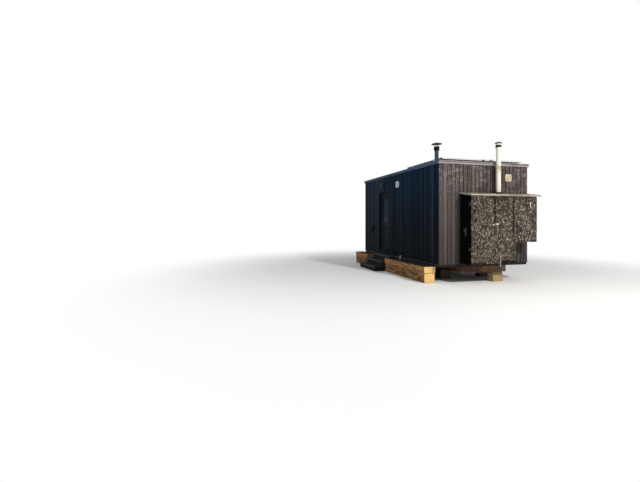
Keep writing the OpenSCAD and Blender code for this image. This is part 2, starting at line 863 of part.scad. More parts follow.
module door_steps() {
  outs = [step_out, step_mid_out, step_top_out];
  color(C_BLACK) site() {
    for (i = [0:2]) {
      back = i == 2 ? step_back : -outs[i + 1] + 44;
      z = (i + 1) * step_rise - 10;
      span([-outs[i], step_y0, z - step_t], [back, step_y1, z]);
    }
    // risers, set back under each tread
    for (i = [0:2]) {
      z1 = (i + 1) * step_rise - 10 - step_t;
      z0 = i == 0 ? 0 : i * step_rise - 10;
      span([-outs[i] + 22, step_y0 + 40, z0], [-outs[i] + 44, step_y1 - 40, z1]);
    }
    // cheeks, cut in steps and standing on the ground
    for (y = [step_y0 + 8, step_y1 - 40 - 8], i = [0:2])
      span([-outs[i] + 40, y, 0], [-3, y + 40, (i + 1) * step_rise - 10 - step_t + 1]);
  }
}

module sleeper_pair(y0, y1) {
  span([-sleeper_out + 12, y0 + 10, 0], [sleeper_in - 15, y1 - 6, sleeper_low_h]);
  span([-sleeper_out, y0, sleeper_low_h], [sleeper_in, y1, chassis_top]);
}

module sleepers_near() {
  color(C_SLEEPER) site() sleeper_pair(near_y0, near_y1);
}

module sleepers_far() {
  color(C_SLEEPER) site() sleeper_pair(far_y0, far_y1);
}

chassis_frame();
support_blocks();
floor_frame();
floor_deck();
front_end_wall();
far_end_wall();
back_side_wall();
door_side_wall_near();
door_side_wall_far();
wall_over_door();
front_end_boards();
far_end_boards();
back_side_boards();
door_side_boards();
skirt_strip();
roof_deck();
roof_membrane();
fascia();
roof_edge_trim();
solar_panel_left();
solar_panel_right();
panel_rails();
stove_flue();
flue_flashing();
stove_cowl();
vent_pipe();
vent_pipe_cowl();
vent_pipe_bracket();
end_vent();
side_vent();
door_frame();
door_hinges();
door_leaf();
door_glass();
door_ironmongery();
door_lamp();
wall_box();
cupboard_frame();
cupboard_sides();
cupboard_roof();
cupboard_right_panel();
cupboard_kick_board();
cupboard_hinges();
cupboard_left_door();
cupboard_left_fittings();
cupboard_middle_door();
cupboard_middle_fittings();
overflow_pipe();
small_pipes();
gas_regulator();
door_steps();
sleepers_near();
sleepers_far();
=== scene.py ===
"""Shepherds hut: boards, sheets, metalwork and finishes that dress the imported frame."""

import math
import random

import bmesh
import bpy
from mathutils import Matrix, Vector, noise


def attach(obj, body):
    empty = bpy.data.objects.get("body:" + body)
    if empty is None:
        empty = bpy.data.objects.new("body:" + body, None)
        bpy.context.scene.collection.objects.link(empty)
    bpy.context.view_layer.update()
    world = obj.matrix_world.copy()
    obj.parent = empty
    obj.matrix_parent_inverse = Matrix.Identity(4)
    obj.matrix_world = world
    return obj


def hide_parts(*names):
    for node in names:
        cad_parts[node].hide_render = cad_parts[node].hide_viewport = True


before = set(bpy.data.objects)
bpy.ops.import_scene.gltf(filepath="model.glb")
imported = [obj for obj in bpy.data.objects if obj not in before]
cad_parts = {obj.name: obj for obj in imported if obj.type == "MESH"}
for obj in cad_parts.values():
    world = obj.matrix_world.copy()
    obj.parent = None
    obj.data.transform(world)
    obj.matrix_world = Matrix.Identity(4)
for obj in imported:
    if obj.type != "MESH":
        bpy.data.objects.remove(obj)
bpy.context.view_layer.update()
scene = bpy.context.scene
# The noise that roughens the timbers would take its seed from the clock
noise.seed_set(1)

# Sizes in metres, measured from the foot of the corner beside the door

BODY_W = 2.58
BODY_L = 4.7
BOARD_T = 0.022
SKIRT_Z = 0.465
ROOF_Z = 2.955
MEMBRANE_Z = 2.97
FASCIA_T = 0.022
FASCIA_Z = 2.895
DOOR_Y0, DOOR_Y1 = 2.75, 3.49
SILL_Z, HEAD_Z = 0.535, 2.445
BOARD_PITCH = 0.11
BOARD_GAP = 0.0165
CUP_FRONT = -0.42
RAIL_X = 0.6075
CUP_SLOPE = 0.151
PANEL_W, PANEL_L, PANEL_Y = 1.134, 1.722, 0.08
PANEL_TOP, PANEL_H = 3.058, 0.035
PANEL_XS = (0.14, 1.334)
FLUE = (1.29, 2.106)
PIPE = (1.57, -0.135)
TO_ROW = Vector((-1.0025, -2.225, 0.0))


# Finishes


def dim(colour, share):
    """A colour made darker, or lighter, by this share."""
    return tuple(c * share for c in colour)


PAINT = {}


class Signal:
    """What comes out of a node; it is added, scaled and compared like a number."""

    def __init__(self, graph, socket):
        self.graph = graph
        self.socket = socket

    def __add__(self, other):
        return self.graph.maths("ADD", self, other)

    def __sub__(self, other):
        return self.graph.maths("SUBTRACT", self, other)

    def __rsub__(self, other):
        return self.graph.maths("SUBTRACT", other, self)

    def __mul__(self, other):
        return self.graph.maths("MULTIPLY", self, other)

    def __truediv__(self, other):
        return self.graph.maths("DIVIDE", self, other)

    def __gt__(self, other):
        return self.graph.maths("GREATER_THAN", self, other)

    def __lt__(self, other):
        return self.graph.maths("LESS_THAN", self, other)

    def __abs__(self):
        return self.graph.maths("ABSOLUTE", self)


class Made:
    """A node whose outputs are read by name or number."""

    def __init__(self, graph, node):
        self.graph = graph
        self.node = node

    def __getitem__(self, key):
        return Signal(self.graph, self.node.outputs[key])


class Graph:
    """A node tree to build in; prefix starts the names of its usual nodes."""
    prefix = "ShaderNode"

    def __init__(self, tree):
        self.tree = tree

    def link(self, signal, socket):
        self.tree.links.new(signal.socket, socket)

    def add(self, kind, inputs=(), **settings):
        """A new node with these settings and inputs."""
        node = self.tree.nodes.new(kind if "Node" in kind else self.prefix + kind)
        for key, value in settings.items():
            setattr(node, key, value)
        for key, value in dict(inputs).items():
            if isinstance(value, Signal):
                self.link(value, node.inputs[key])
            else:
                node.inputs[key].default_value = value
        return Made(self, node)

    def maths(self, job, a, b=0.0):
        return self.add("ShaderNodeMath", {0: a, 1: b}, operation=job)[0]

    def join(self, x=0.0, y=0.0, z=0.0):
        return self.add("ShaderNodeCombineXYZ", {0: x, 1: y, 2: z})[0]

    def parts(self, where):
        return self.add("ShaderNodeSeparateXYZ", {0: where})


class Finish(Graph):
    """One procedural finish, listed in PAINT, on the shader that Blender gives a new material."""

    def __init__(self, name, gloss=0.5, **sockets):
        self.mat = bpy.data.materials.new(name)
        self.mat.use_nodes = True
        PAINT[name] = self.mat
        super().__init__(self.mat.node_tree)
        self.shader = self.tree.nodes["Principled BSDF"]
        self.shader.inputs["Specular IOR Level"].default_value = gloss
        for key, value in sockets.items():
            self.shader.inputs[key.replace("_", " ").title().replace("Ior", "IOR")].default_value = value
        self.spot = self.add("TexCoord")["Object"]

    def attribute(self, name, output="Fac"):
        return self.add("Attribute", attribute_name=name)[output]

    def grid(self, size, turn=0.0, spot=None):
        """Coordinates that count in steps of this size, in metres, on axes turned about Z."""
        size = size if isinstance(size, tuple) else (size,) * 3
        inputs = {"Vector": spot or self.spot, "Rotation": (0, 0, turn), "Scale": size}
        return self.add("Mapping", inputs, vector_type="TEXTURE")[0]

    def noise(self, size, detail=3.0, rough=0.5, warp=0.0, turn=0.0, spot=None):
        """Soft noise with patches of about this size; a signal instead of a size is used as coordinates."""
        where = size if isinstance(size, Signal) else self.grid(size, turn, spot)
        inputs = {"Vector": where, "Scale": 1.0, "Detail": detail, "Roughness": rough, "Distortion": warp}
        return self.add("TexNoise", inputs)[0]

    def cells(self, where, feature="F1", dims="3D", distance="EUCLIDEAN"):
        inputs = {"Vector": where, "Scale": 1.0}
        return self.add("TexVoronoi", inputs, feature=feature, voronoi_dimensions=dims, distance=distance)

    def span(self, value, low, high, to_low=0.0, to_high=1.0, kind="SMOOTHSTEP"):
        """value from low to high, eased to the range from to_low to to_high."""
        inputs = {0: value, 1: low, 2: high, 3: to_low, 4: to_high}
        return self.add("MapRange", inputs, interpolation_type=kind)[0]

    def ramp(self, value, *stops):
        made = self.add("ValToRGB", {0: value})
        band = made.node.color_ramp
        while len(band.elements) < len(stops):
            band.elements.new(0.5)
        for element, (place, colour) in zip(band.elements, stops):
            element.position = place
            element.color = (*colour, 1.0)
        return made[0]

    def mix(self, share, a, b, blend="MIX"):
        a, b = (c if isinstance(c, Signal) else (*c, 1.0) for c in (a, b))
        return self.add("Mix", {0: share, 6: a, 7: b}, data_type="RGBA", blend_type=blend)[2]

    def lay(self, under, over, value, low, high, to_low=0.0, to_high=1.0):
        """One colour over another, by a share that follows value as in span."""
        return self.mix(self.span(value, low, high, to_low, to_high), under, over)

    def relief(self, height, depth):
        """Bumps of this depth in metres, laid over any that are there."""
        slot = self.shader.inputs["Normal"]
        below = {"Normal": Signal(self, slot.links[0].from_socket)} if slot.links else {}
        inputs = {"Height": height, "Distance": depth, "Strength": 1.0, **below}
        self.link(self.add("Bump", inputs)[0], slot)
        return self

    def done(self, colour, wear, low, high):
        """Sets the colour, and a roughness that runs from low to high with wear."""
        self.link(colour, self.shader.inputs["Base Color"])
        self.link(self.span(wear, 0.0, 1.0, low, high, "LINEAR"), self.shader.inputs["Roughness"])


def grain_spot(f, along):
    """Coordinates whose X runs along the grain: a piece's own attribute, or an axis of the object."""
    if along == "wood":
        return f.attribute("wood", "Vector")
    x, y, z = f.parts(f.spot)
    return f.join(y, x, z) if along == "y" else f.join(z, x, y)


def timber(name, dark, light, along="wood", fibre=0.004, stain=(0.1, 0.09, 0.08), stained=0.35, knots=0.0,
        cracks=0.0, figure=0.0, blotches=0.0, rough=(0.6, 0.85), depth=0.0006, shine=0.25):
    """Sawn or planed wood: fibres, broad bands, stains, and knots, drying cracks, swirling growth lines or
    short blotches where asked."""
    f = Finish(name, shine)
    spot = grain_spot(f, along)
    tone = f.attribute("tone")
    fibres = f.noise((0.22, fibre, fibre), 4.0, 0.65, 0.2, spot=spot)
    bands = f.noise((0.9, 0.03, 0.03), 3.0, 0.55, 0.6, spot=spot)
    patches = f.noise((0.5, 0.14, 0.14), 5.0, 0.6, spot=spot)
    share = fibres * 0.6 + bands * 0.4 + (tone - 0.5) * 0.3
    if figure:
        bend = f.noise((1.1, 0.12, 0.12), 3.0, 0.5, 0.3, spot=spot)
        lines = f.maths("SINE", f.parts(spot)[2] * (2 * math.pi / 0.05) + bend * 22.0)
        lines = lines * f.span(patches, 0.35, 0.6, 1.0, 0.35)
        share = share + lines * (0.13 * figure)
    paint = f.lay(dark, light, share, 0.3, 0.7)
    paint = f.lay(paint, stain, patches, 0.45, 0.7, 0.0, stained)
    relief = fibres + bands
    if knots:
        knot = f.cells(f.grid((0.55, 0.1, 0.1), spot=spot))
        eye = f.span(knot["Distance"], 0.06, 0.13, knots, 0.0)
        paint = f.mix(eye, paint, dim(dark, 0.35))
    if blotches:
        blot = f.noise((0.13, 0.035, 0.035), 5.0, 0.75, 0.3, spot=spot)
        paint = f.lay(paint, dim(dark, 0.5), blot, 0.5, 0.62, 0.0, blotches)
        paint = f.lay(paint, dim(light, 1.1), blot, 0.36, 0.47, blotches * 0.7, 0.0)
    if cracks:
        line = f.noise((0.8, 0.03, 0.03), 2.0, 0.4, 0.4, spot=spot)
        split = f.span(abs(line - 0.5), 0.0, 0.012, cracks, 0.0)
        paint = f.mix(split, paint, dim(dark, 0.2))
        f.relief(1.0 - split, 0.004)
    f.relief(relief, depth)
    f.done(paint, patches, *rough)


def worn_paint(name, paint, bare_dark, bare_light, cold, worn, fleck, rough=(0.7, 0.9), shine=0.15,
        high_up=None, far_back=None):
    """Dark coating on upright boards, weathered back to warm or cold grey wood in streaks, peeling in pale
    flecks near the top."""
    f = Finish(name, shine)
    spot = f.attribute("wood", "Vector")
    tone = f.attribute("tone")
    _, y, high = f.parts(f.spot)
    fibres = f.noise((0.16, 0.0045, 0.0045), 4.0, 0.7, 0.3, spot=spot)
    streaks = f.noise((0.7, 0.018, 0.018), 4.0, 0.6, 0.5, spot=spot)
    patches = f.noise((0.35, 0.2, 0.2), 5.0, 0.65)
    wear = streaks * 0.55 + patches * 0.35 + tone * 0.22
    wear = f.span(wear, 0.72 - worn * 0.42, 0.86 - worn * 0.34)
    bare = f.lay(bare_dark, bare_light, fibres, 0.34, 0.68)
    other = f.maths("FRACT", tone * 7.31)
    bare = f.lay(bare, cold, other, 0.6, 0.9, 0.0, 0.55)
    bare = f.lay(bare, dim(bare_light, 1.45), tone, 0.5, 1.0, 0.0, 0.3)
    bare = f.lay(bare, dim(bare_dark, 0.62), streaks, 0.5, 0.66, 0.0, 0.6)
    coat = f.lay(dim(paint, 0.6), dim(paint, 1.5), fibres, 0.3, 0.75)
    coat = f.lay(coat, dim(paint, 2.2), other, 0.25, 1.0, 0.0, 0.6)
    # high_up: the coat turns bluer towards the top, painted sky light on a side out of the sun
    if high_up:
        coat = f.mix(f.span(high, 0.9, 2.9) * f.span(streaks, 0.35, 0.6, 0.35, 1.0), coat, high_up)
    # far_back: the coat turns a lighter blue towards the far end, painted sky light, with board-to-board
    # tone changes
    if far_back:
        coat = f.mix(f.span(y, 0.1, 1.9, 0.0, 0.8) * f.span(tone, 0.0, 1.0, 0.5, 1.0), coat, far_back)
        coat = f.lay(coat, dim(paint, 0.5), tone, 0.1, 0.45, 0.6, 0.0)
        coat = f.lay(coat, dim(far_back, 1.5), other, 0.55, 0.9, 0.0, 0.35)
    colour = f.mix(wear, coat, bare)
    chips = f.noise((0.06, 0.013, 0.013), 2.0, 0.5, 0.6, spot=spot)
    chips = f.span(chips, 0.56, 0.64) * f.span(patches, 0.42, 0.56, 0.0, fleck)
    chips = chips * f.span(high, 1.9, 2.6, 0.12, 1.0)
    colour = f.mix(chips, colour, tuple(min(0.6, c * 3.2) for c in bare_light))
    foot = f.span(high, 0.5, 1.8, 0.85, 0.0)
    colour = f.mix(foot * patches, colour, tuple(c * 0.6 + 0.002 for c in bare_dark))
    f.relief(fibres, 0.0009).relief(wear * streaks, 0.0005)
    f.done(colour, wear * 0.7 + fibres * 0.3, *rough)


def strand_board(name, dark, mid, pale, damp=0.5, lie="upright", seams=(), gloss=0.12):
    """Weathered strand board: five layers of long flakes at their own angles, some pale, with lifted
    edges; seams are (x, half width, lower end) of black bands, part stain and part painted shade."""
    f = Finish(name, gloss)
    x, y, z = f.parts(f.spot)
    flat = f.join(x + y if lie == "upright" else y, z, 0.0)
    wobble = f.add("TexNoise", {"Vector": f.grid(0.03), "Scale": 1.0, "Detail": 1.0})[1]
    wobble = f.add("VectorMath", {0: wobble, 3: 0.004}, operation="SCALE")[0]
    flat = f.add("VectorMath", {0: flat, 1: wobble}, operation="ADD")[0]
    colour = f.mix(f.noise(0.02, 4.0, 0.7), dark, mid)
    height = f.noise(0.01, 2.0)
    for turn, long, wide, cover in ((0.1, 0.08, 0.017, 0.25), (1.9, 0.064, 0.016, 0.4),
            (2.75, 0.052, 0.015, 0.5), (0.75, 0.044, 0.014, 0.55), (1.45, 0.038, 0.012, 0.66)):
        spot = f.grid((long, wide, 1.0), turn, flat)
        cell = f.cells(spot, "F1", "2D", "CHEBYCHEV")
        rim = f.cells(spot, "F2", "2D", "CHEBYCHEV")["Distance"] - cell["Distance"]
        lot, shade, pick = f.add("SeparateColor", {0: cell["Color"]})
        fibre = f.noise((0.03, 0.0016, 1.0), 3.0, 0.6, turn=turn, spot=flat)
        body = f.lay(dark, mid, shade * 0.8 + fibre * 0.2, 0.3, 0.7)
        body = f.lay(body, pale, pick, 0.8, 0.9)
        body = f.mix(f.span(fibre, 0.42, 0.62, 0.0, 0.85), body, (0.42, 0.4, 0.38), "MULTIPLY")
        body = f.lay(body, dim(dark, 0.3), rim, 0.0, 0.12, 0.6, 0.0)
        here = lot > cover
        colour = f.mix(here, colour, body)
        height = height * 0.6 + here * f.span(rim, 0.0, 0.25, 0.0, 1.0)
    wet = f.noise((0.32, 0.32, 0.22), 5.0, 0.65)
    colour = f.lay(colour, dim(dark, 0.45), wet, 0.48, 0.68, 0.0, damp)
    pocket = f.noise(0.045, 2.0, 0.6)
    colour = f.lay(colour, dim(dark, 0.4), pocket, 0.62, 0.72, 0.0, 0.6)
    # Black bands down the seams: part damp stain, part painted shade in the joints
    for place, reach, foot in seams:
        off = abs(x - (place + TO_ROW.x))
        stain = f.span(off, reach * 0.35, reach, 0.92, 0.0) * f.span(z, foot, foot + 0.35, 0.15, 1.0)
        colour = f.mix(stain * f.span(pocket, 0.25, 0.5, 0.6, 1.0), colour, (0.004, 0.003, 0.003))
    if seams:
        # A dark band just under the cupboard roof: painted shadow of the roof edge, with stain
        colour = f.mix(f.span(z, 1.92, 2.1, 0.0, 0.75) * f.span(wet, 0.35, 0.6, 0.3, 1.0), colour,
            (0.02, 0.014, 0.011))
        colour = f.mix(f.span(z, 0.55, 0.9, 0.35, 0.0) * f.span(wet, 0.35, 0.6), colour,
            (0.125, 0.078, 0.05))
    f.relief(height, 0.0016)
    f.done(colour, wet, 0.7, 0.92)


def metal(name, paint, rough=(0.3, 0.5), shine=1.0, grime=(0.2, 0.19, 0.17), grimed=0.3, size=0.12,
        dents=0.0004, gloss=0.3, door_side=None, level=None):
    """Metal with streaks of dirt, uneven polish and slight dents; where given, a colour of painted shade
    and sky light on the door side, or its own colour round one (height, colour)."""
    f = Finish(name, gloss, metallic=shine)
    broad = f.noise(size, 5.0, 0.6)
    fine = f.noise(size / 12, 4.0, 0.7)
    streak = f.noise((size / 5, size / 5, size * 3), 3.0, 0.6)
    colour = f.lay(dim(paint, 0.85), paint, fine, 0.3, 0.75)
    # door_side: painted shade and sky light on the door side
    if door_side:
        colour = f.lay(colour, door_side, f.parts(f.spot)[0], TO_ROW.x - 0.009, TO_ROW.x - 0.003, 1.0, 0.0)
    if level:
        off = abs(f.parts(f.spot)[2] - level[0])
        colour = f.lay(colour, level[1], off, 0.09, 0.12, 1.0, 0.0)
    dirt = f.span(broad * 0.5 + streak * 0.5, 0.45, 0.7, 0.0, grimed)
    f.relief(broad, dents * 4).relief(fine, dents)
    f.done(f.mix(dirt, colour, grime), fine, *rough)


def rusted(name):
    """Old steel channel, rusted all over, flaking in dark scabs with orange edges."""
    f = Finish(name, 0.15, metallic=0.0)
    broad = f.noise(0.14, 6.0, 0.65, 0.6)
    grain = f.noise(0.006, 4.0, 0.7)
    scab = f.cells(f.grid((0.035, 0.035, 0.02)))
    edge = f.span(scab["Distance"], 0.25, 0.6)
    colour = f.ramp(broad, (0.28, (0.016, 0.009, 0.007)), (0.45, (0.05, 0.03, 0.021)),
        (0.6, (0.088, 0.05, 0.032)), (0.74, (0.15, 0.085, 0.052)))
    colour = f.mix(edge * f.span(grain, 0.45, 0.7), colour, (0.14, 0.068, 0.036))
    colour = f.lay(colour, (0.12, 0.09, 0.075), f.noise((0.02, 0.02, 0.11), 3.0), 0.6, 0.72, 0.0, 0.5)
    _, y, z = f.parts(f.spot)
    plate = y < TO_ROW.y + 0.0285
    colour = f.mix(plate * f.span(broad, 0.3, 0.6, 0.3, 0.7), colour, (0.185, 0.112, 0.07))
    # lip: a pale pinkish line along the lower flange's front edge, a painted highlight of its lit edge
    lip = f.span(z, 0.246, 0.252, 0.8, 0.0) * f.span(grain, 0.35, 0.55)
    colour = f.mix(lip * f.span(y, TO_ROW.y + 0.05, TO_ROW.y + 0.12, 1.0, 0.0), colour, (0.26, 0.19, 0.18))
    f.relief(broad, 0.002).relief(grain, 0.0008)
    f.done(colour, grain, 0.75, 0.95)


def moulded(name, paint, grime=(0.25, 0.22, 0.16), grimed=0.4, rough=(0.35, 0.55), gloss=0.3, at_wall=None):
    """Moulded plastic, chalked by the weather, with dirt that runs down it, and another colour from the
    end wall backwards where given, which on the pipe clip is a painted shadow."""
    f = Finish(name, gloss)
    run = f.noise((0.012, 0.012, 0.25), 4.0, 0.6, 0.2)
    cloud = f.noise(0.09, 5.0, 0.6)
    speck = f.noise(0.002, 2.0)
    colour = f.lay(paint, dim(paint, 0.88), cloud, 0.35, 0.7)
    if at_wall:
        colour = f.lay(colour, at_wall, f.parts(f.spot)[1], TO_ROW.y - 0.07, TO_ROW.y - 0.06)
    dirt = f.span(run, 0.48, 0.72) * f.span(cloud, 0.4, 0.65, 0.0, grimed)
    f.relief(speck, 0.00008)
    f.done(f.mix(dirt, colour, grime), cloud, *rough)


def past_line(f, inset):
    """1 on what lies within this distance of the body's outside, 0 on what lies deeper."""
    x, y, _ = f.parts(f.spot)
    off_x = abs(x - (BODY_W / 2 + TO_ROW.x)) - BODY_W / 2
    off_y = abs(y - (BODY_L / 2 + TO_ROW.y)) - BODY_L / 2
    return f.maths("MAXIMUM", off_x, off_y) > -inset


def board_joints(f, across, pitch, low, high):
    """Boards side by side: a number of its own for each board, and 1 in the grooves between them."""
    step = across / pitch
    own = f.add("TexWhiteNoise", {"W": f.maths("FLOOR", step)}, noise_dimensions="1D")[0]
    return own, f.span(abs(f.maths("FRACT", step) - 0.5), low, high)


def board_floor(name, dark, light, pitch):
    """Boards laid side by side on a flat face: each has its own tone and a groove between; edges under the
    cladding are dark."""
    f = Finish(name)
    x, y, z = f.parts(f.spot)
    own, groove = board_joints(f, x, pitch, 0.47, 0.495)
    fibres = f.noise((0.3, 0.005, 0.005), 4.0, 0.6, 0.3, spot=f.join(y + own * 9.0, x, z))
    colour = f.lay(dark, light, fibres * 0.7 + own * 0.3, 0.25, 0.75)
    colour = f.mix(groove, colour, dim(dark, 0.3))
    colour = f.mix(past_line(f, BOARD_T + 0.002), colour, (0.008, 0.008, 0.009))
    f.relief(fibres, 0.0003).relief(1.0 - groove, 0.002)
    f.done(colour, fibres, 0.45, 0.65)


def shell_wall():
    """Wall cores: dark breather sheet outside, pale upright lining boards inside."""
    f = Finish("wall_core")
    x, y, z = f.parts(f.spot)
    outside = past_line(f, 0.08)
    own, groove = board_joints(f, x + y, 0.12, 0.46, 0.49)
    fibres = f.noise((0.4, 0.006, 1.0), 4.0, 0.6, 0.4, spot=f.join(z + own * 7.0, x + y, 0.0))
    pine = f.lay((0.5, 0.36, 0.21), (0.66, 0.52, 0.34), fibres * 0.6 + own * 0.4, 0.25, 0.75)
    pine = f.mix(groove, pine, (0.16, 0.11, 0.06))
    felt = f.mix(f.noise(0.01, 3.0), (0.006, 0.006, 0.007), (0.012, 0.012, 0.013))
    f.relief(1.0 - groove, 0.003)
    f.done(f.mix(outside, pine, felt), fibres, 0.5, 0.75)


def end_grain(name, dark, light, pith, ring=0.006):
    """A sawn end: rings round an off-centre pith, radial splits and saw marks; coordinates are the end's
    own."""
    f = Finish(name, 0.15)
    spot = f.attribute("wood", "Vector")
    _, y, z = f.parts(spot)
    warp = f.noise(0.05, 3.0, spot=spot)
    across = y - pith[0]
    up = z - pith[1]
    reach = f.maths("SQRT", across * across + up * up) + warp * 0.012
    rings = f.span(f.maths("SINE", reach * (2 * math.pi / ring)), -0.6, 1.0)
    ray = f.noise(f.join(across / reach * 2.4, up / reach * 2.4, 0.0), 3.0, 0.6)
    split = f.span(abs(ray - 0.5), 0.0, 0.01, 0.6, 0.0)
    split = split * (f.span(reach, 0.015, 0.04) * f.span(reach, 0.07, 0.14, 1.0, 0.0))
    blot = f.noise(0.09, 4.0, 0.6, spot=spot)
    saw = f.noise((1.0, 0.2, 0.003), 2.0, spot=spot)
    broad = f.span(f.maths("SINE", reach * (2 * math.pi / (ring * 7))), -0.2, 1.0)
    colour = f.mix(rings * 0.3, light, dark)
    colour = f.mix(broad * f.span(blot, 0.35, 0.6, 0.15, 0.5), colour, dim(dark, 0.8))
    colour = f.lay(colour, dim(dark, 0.62), blot, 0.5, 0.72, 0.0, 0.5)
    colour = f.lay(colour, dim(dark, 0.3), reach, 0.008, 0.022, 0.7, 0.0)
    colour = f.mix(split, colour, dim(dark, 0.3))
    f.relief(rings - split, 0.0008).relief(saw, 0.0006)
    f.done(colour, blot, 0.7, 0.9)


def solar_cells():
    """Dark silicon behind glass, with fine silver fingers and busbars."""
    f = Finish("solar_cells", 0.12)
    x, y, _ = f.parts(f.spot)
    bars = abs(f.maths("FRACT", x / 0.0182) - 0.5)
    fingers = abs(f.maths("FRACT", y / 0.004) - 0.5)
    lines = f.maths("MAXIMUM", f.span(bars, 0.46, 0.49, 0.0, 0.7), f.span(fingers, 0.44, 0.49, 0.0, 0.25))
    tone = f.noise((0.18, 0.09, 1.0), 2.0)
    dust = f.noise(0.3, 5.0, 0.65)
    colour = f.lay((0.006, 0.009, 0.022), (0.012, 0.018, 0.042), tone, 0.3, 0.7)
    colour = f.mix(lines, colour, (0.35, 0.36, 0.38))
    colour = f.lay(colour, (0.3, 0.28, 0.24), dust, 0.45, 0.8, 0.0, 0.12)
    f.done(colour, dust, 0.08, 0.3)


def roof_sheet_finish():
    """Black rubber roof sheet, dulled by dust that settles in its low places."""
    f = Finish("roof_sheet_rubber")
    pool = f.noise(0.5, 6.0, 0.6)
    fine = f.noise(0.012, 3.0, 0.7)
    colour = f.lay((0.028, 0.029, 0.031), (0.17, 0.165, 0.15), pool, 0.4, 0.68, 0.0, 0.6)
    colour = f.lay(colour, (0.1, 0.11, 0.07), fine, 0.6, 0.75, 0.0, 0.5)
    f.relief(pool, 0.003).relief(fine, 0.0005)
    f.done(colour, pool, 0.55, 0.85)


def mossy_roof():
    """Cupboard roof: grey weathered ply, pale cut edges in layers, green where moss holds."""
    f = Finish("mossy_roof", 0.1)
    _, y, z = f.parts(f.spot)
    fibres = f.noise((0.3, 0.006, 0.006), 4.0, 0.65, 0.3)
    patch = f.noise((0.22, 0.12, 0.12), 6.0, 0.7)
    layers = f.maths("SINE", (z - y * CUP_SLOPE) * (2 * math.pi / 0.0055))
    colour = f.lay((0.24, 0.205, 0.17), (0.46, 0.41, 0.35), fibres, 0.3, 0.7)
    colour = f.lay(colour, (0.12, 0.1, 0.08), layers, 0.2, 0.9, 0.0, 0.45)
    colour = f.lay(colour, (0.085, 0.095, 0.035), patch, 0.5, 0.62, 0.0, 0.75)
    colour = f.lay(colour, (0.03, 0.03, 0.02), patch, 0.66, 0.72, 0.0, 0.8)
    f.relief(fibres, 0.0008).relief(patch, 0.003)
    f.done(colour, patch, 0.75, 0.95)


def pipe_plastic():
    """Off-white pipe: chalked, with yellow-green dirt caught round its bracket and grey runs below the
    cowl."""
    f = Finish("pipe_plastic", 0.3)
    z = f.parts(f.spot)[2]
    cloud = f.noise((0.05, 0.05, 0.09), 5.0, 0.65)
    runs = f.noise((0.009, 0.009, 0.22), 4.0, 0.6)
    near = abs(z - 2.8)
    ring = f.span(near, 0.02, 0.14, 1.0, 0.0) * f.span(cloud, 0.36, 0.58)
    foot = f.span(z, 2.15, 2.4, 1.0, 0.0) * f.span(runs, 0.4, 0.6)
    head = f.span(z, 3.05, 3.25, 0.0, 0.8) * f.span(runs, 0.45, 0.65)
    colour = f.lay((0.76, 0.735, 0.655), (0.64, 0.605, 0.52), cloud, 0.3, 0.75)
    colour = f.mix(ring * 0.85, colour, (0.3, 0.27, 0.09))
    colour = f.mix(foot * 0.6, colour, (0.33, 0.29, 0.2))
    colour = f.mix(head * 0.5, colour, (0.4, 0.38, 0.3))
    f.relief(cloud, 0.0003)
    f.done(colour, cloud, 0.45, 0.65)


def clear_glass():
    """Door pane: nearly opaque, dark blue as painted shade of the room and sky reflection, lighter at its
    foot.
    """
    f = Finish("door_pane", 0.018, transmission_weight=0.15, ior=1.3)
    smear = f.noise((0.06, 0.07, 0.35), 5.0, 0.6)
    colour = f.lay((0.003, 0.013, 0.029), (0.001, 0.004, 0.009), smear, 0.4, 0.6)
    colour = f.lay(colour, (0.013, 0.031, 0.05), f.parts(f.spot)[2], 1.46, 1.85, 0.8, 0.0)
    f.done(colour, smear, 0.08, 0.2)


def moss():
    """Moss: olive tufts, browner where dry."""
    f = Finish("moss", 0.05)
    tone = f.attribute("tone")
    tuft = f.noise(0.004, 3.0, 0.7)
    colour = f.ramp(tone, (0.0, (0.045, 0.06, 0.012)), (0.5, (0.1, 0.12, 0.028)),
        (0.8, (0.17, 0.16, 0.05)), (1.0, (0.2, 0.15, 0.07)))
    f.relief(tuft, 0.002)
    f.done(f.lay((0.02, 0.028, 0.008), colour, tuft, 0.35, 0.65), tuft, 0.85, 1.0)


worn_paint("weathered_boards", (0.022, 0.021, 0.023), (0.037, 0.03, 0.027), (0.126, 0.103, 0.095),
    (0.06, 0.056, 0.055), 0.86, 0.9)
# dark_boards: dark paint, made darker and bluer as painted shade and sky light of a side out of the sun
worn_paint("dark_boards", (0.0036, 0.0054, 0.0088), (0.01, 0.014, 0.02), (0.026, 0.034, 0.044),
    (0.012, 0.019, 0.028), 0.36, 0.05, shine=0.03, high_up=(0.0044, 0.022, 0.049),
    far_back=(0.0205, 0.0345, 0.048))
# dark_joinery: dark stain on the door and its frame, darker and bluer as painted shade and sky light of the
# door side
timber("dark_joinery", (0.005, 0.007, 0.01), (0.011, 0.015, 0.02), stain=(0.02, 0.02, 0.022), stained=0.2,
    rough=(0.6, 0.8), depth=0.0003, shine=0.05)
timber("black_timber", (0.006, 0.006, 0.006), (0.018, 0.017, 0.016), stain=(0.05, 0.044, 0.036),
    stained=0.5, rough=(0.6, 0.85), depth=0.0008, shine=0.06)
# Lighter blue-grey for the treads' front faces: painted sky light on their lit edges
timber("worn_nosing", (0.034, 0.036, 0.042), (0.155, 0.162, 0.178), stain=(0.05, 0.044, 0.036),
    stained=0.4, rough=(0.6, 0.85), depth=0.0008, shine=0.06)
timber("grey_timber", (0.14, 0.122, 0.117), (0.38, 0.34, 0.325), fibre=0.0035, stain=(0.08, 0.068, 0.064),
    stained=0.5, cracks=0.6, depth=0.0009, shine=0.1)
timber("shaded_timber", (0.11, 0.096, 0.101), (0.3, 0.265, 0.272), fibre=0.0035,
    stain=(0.045, 0.04, 0.042), stained=0.6, cracks=0.6, depth=0.0009, shine=0.1)
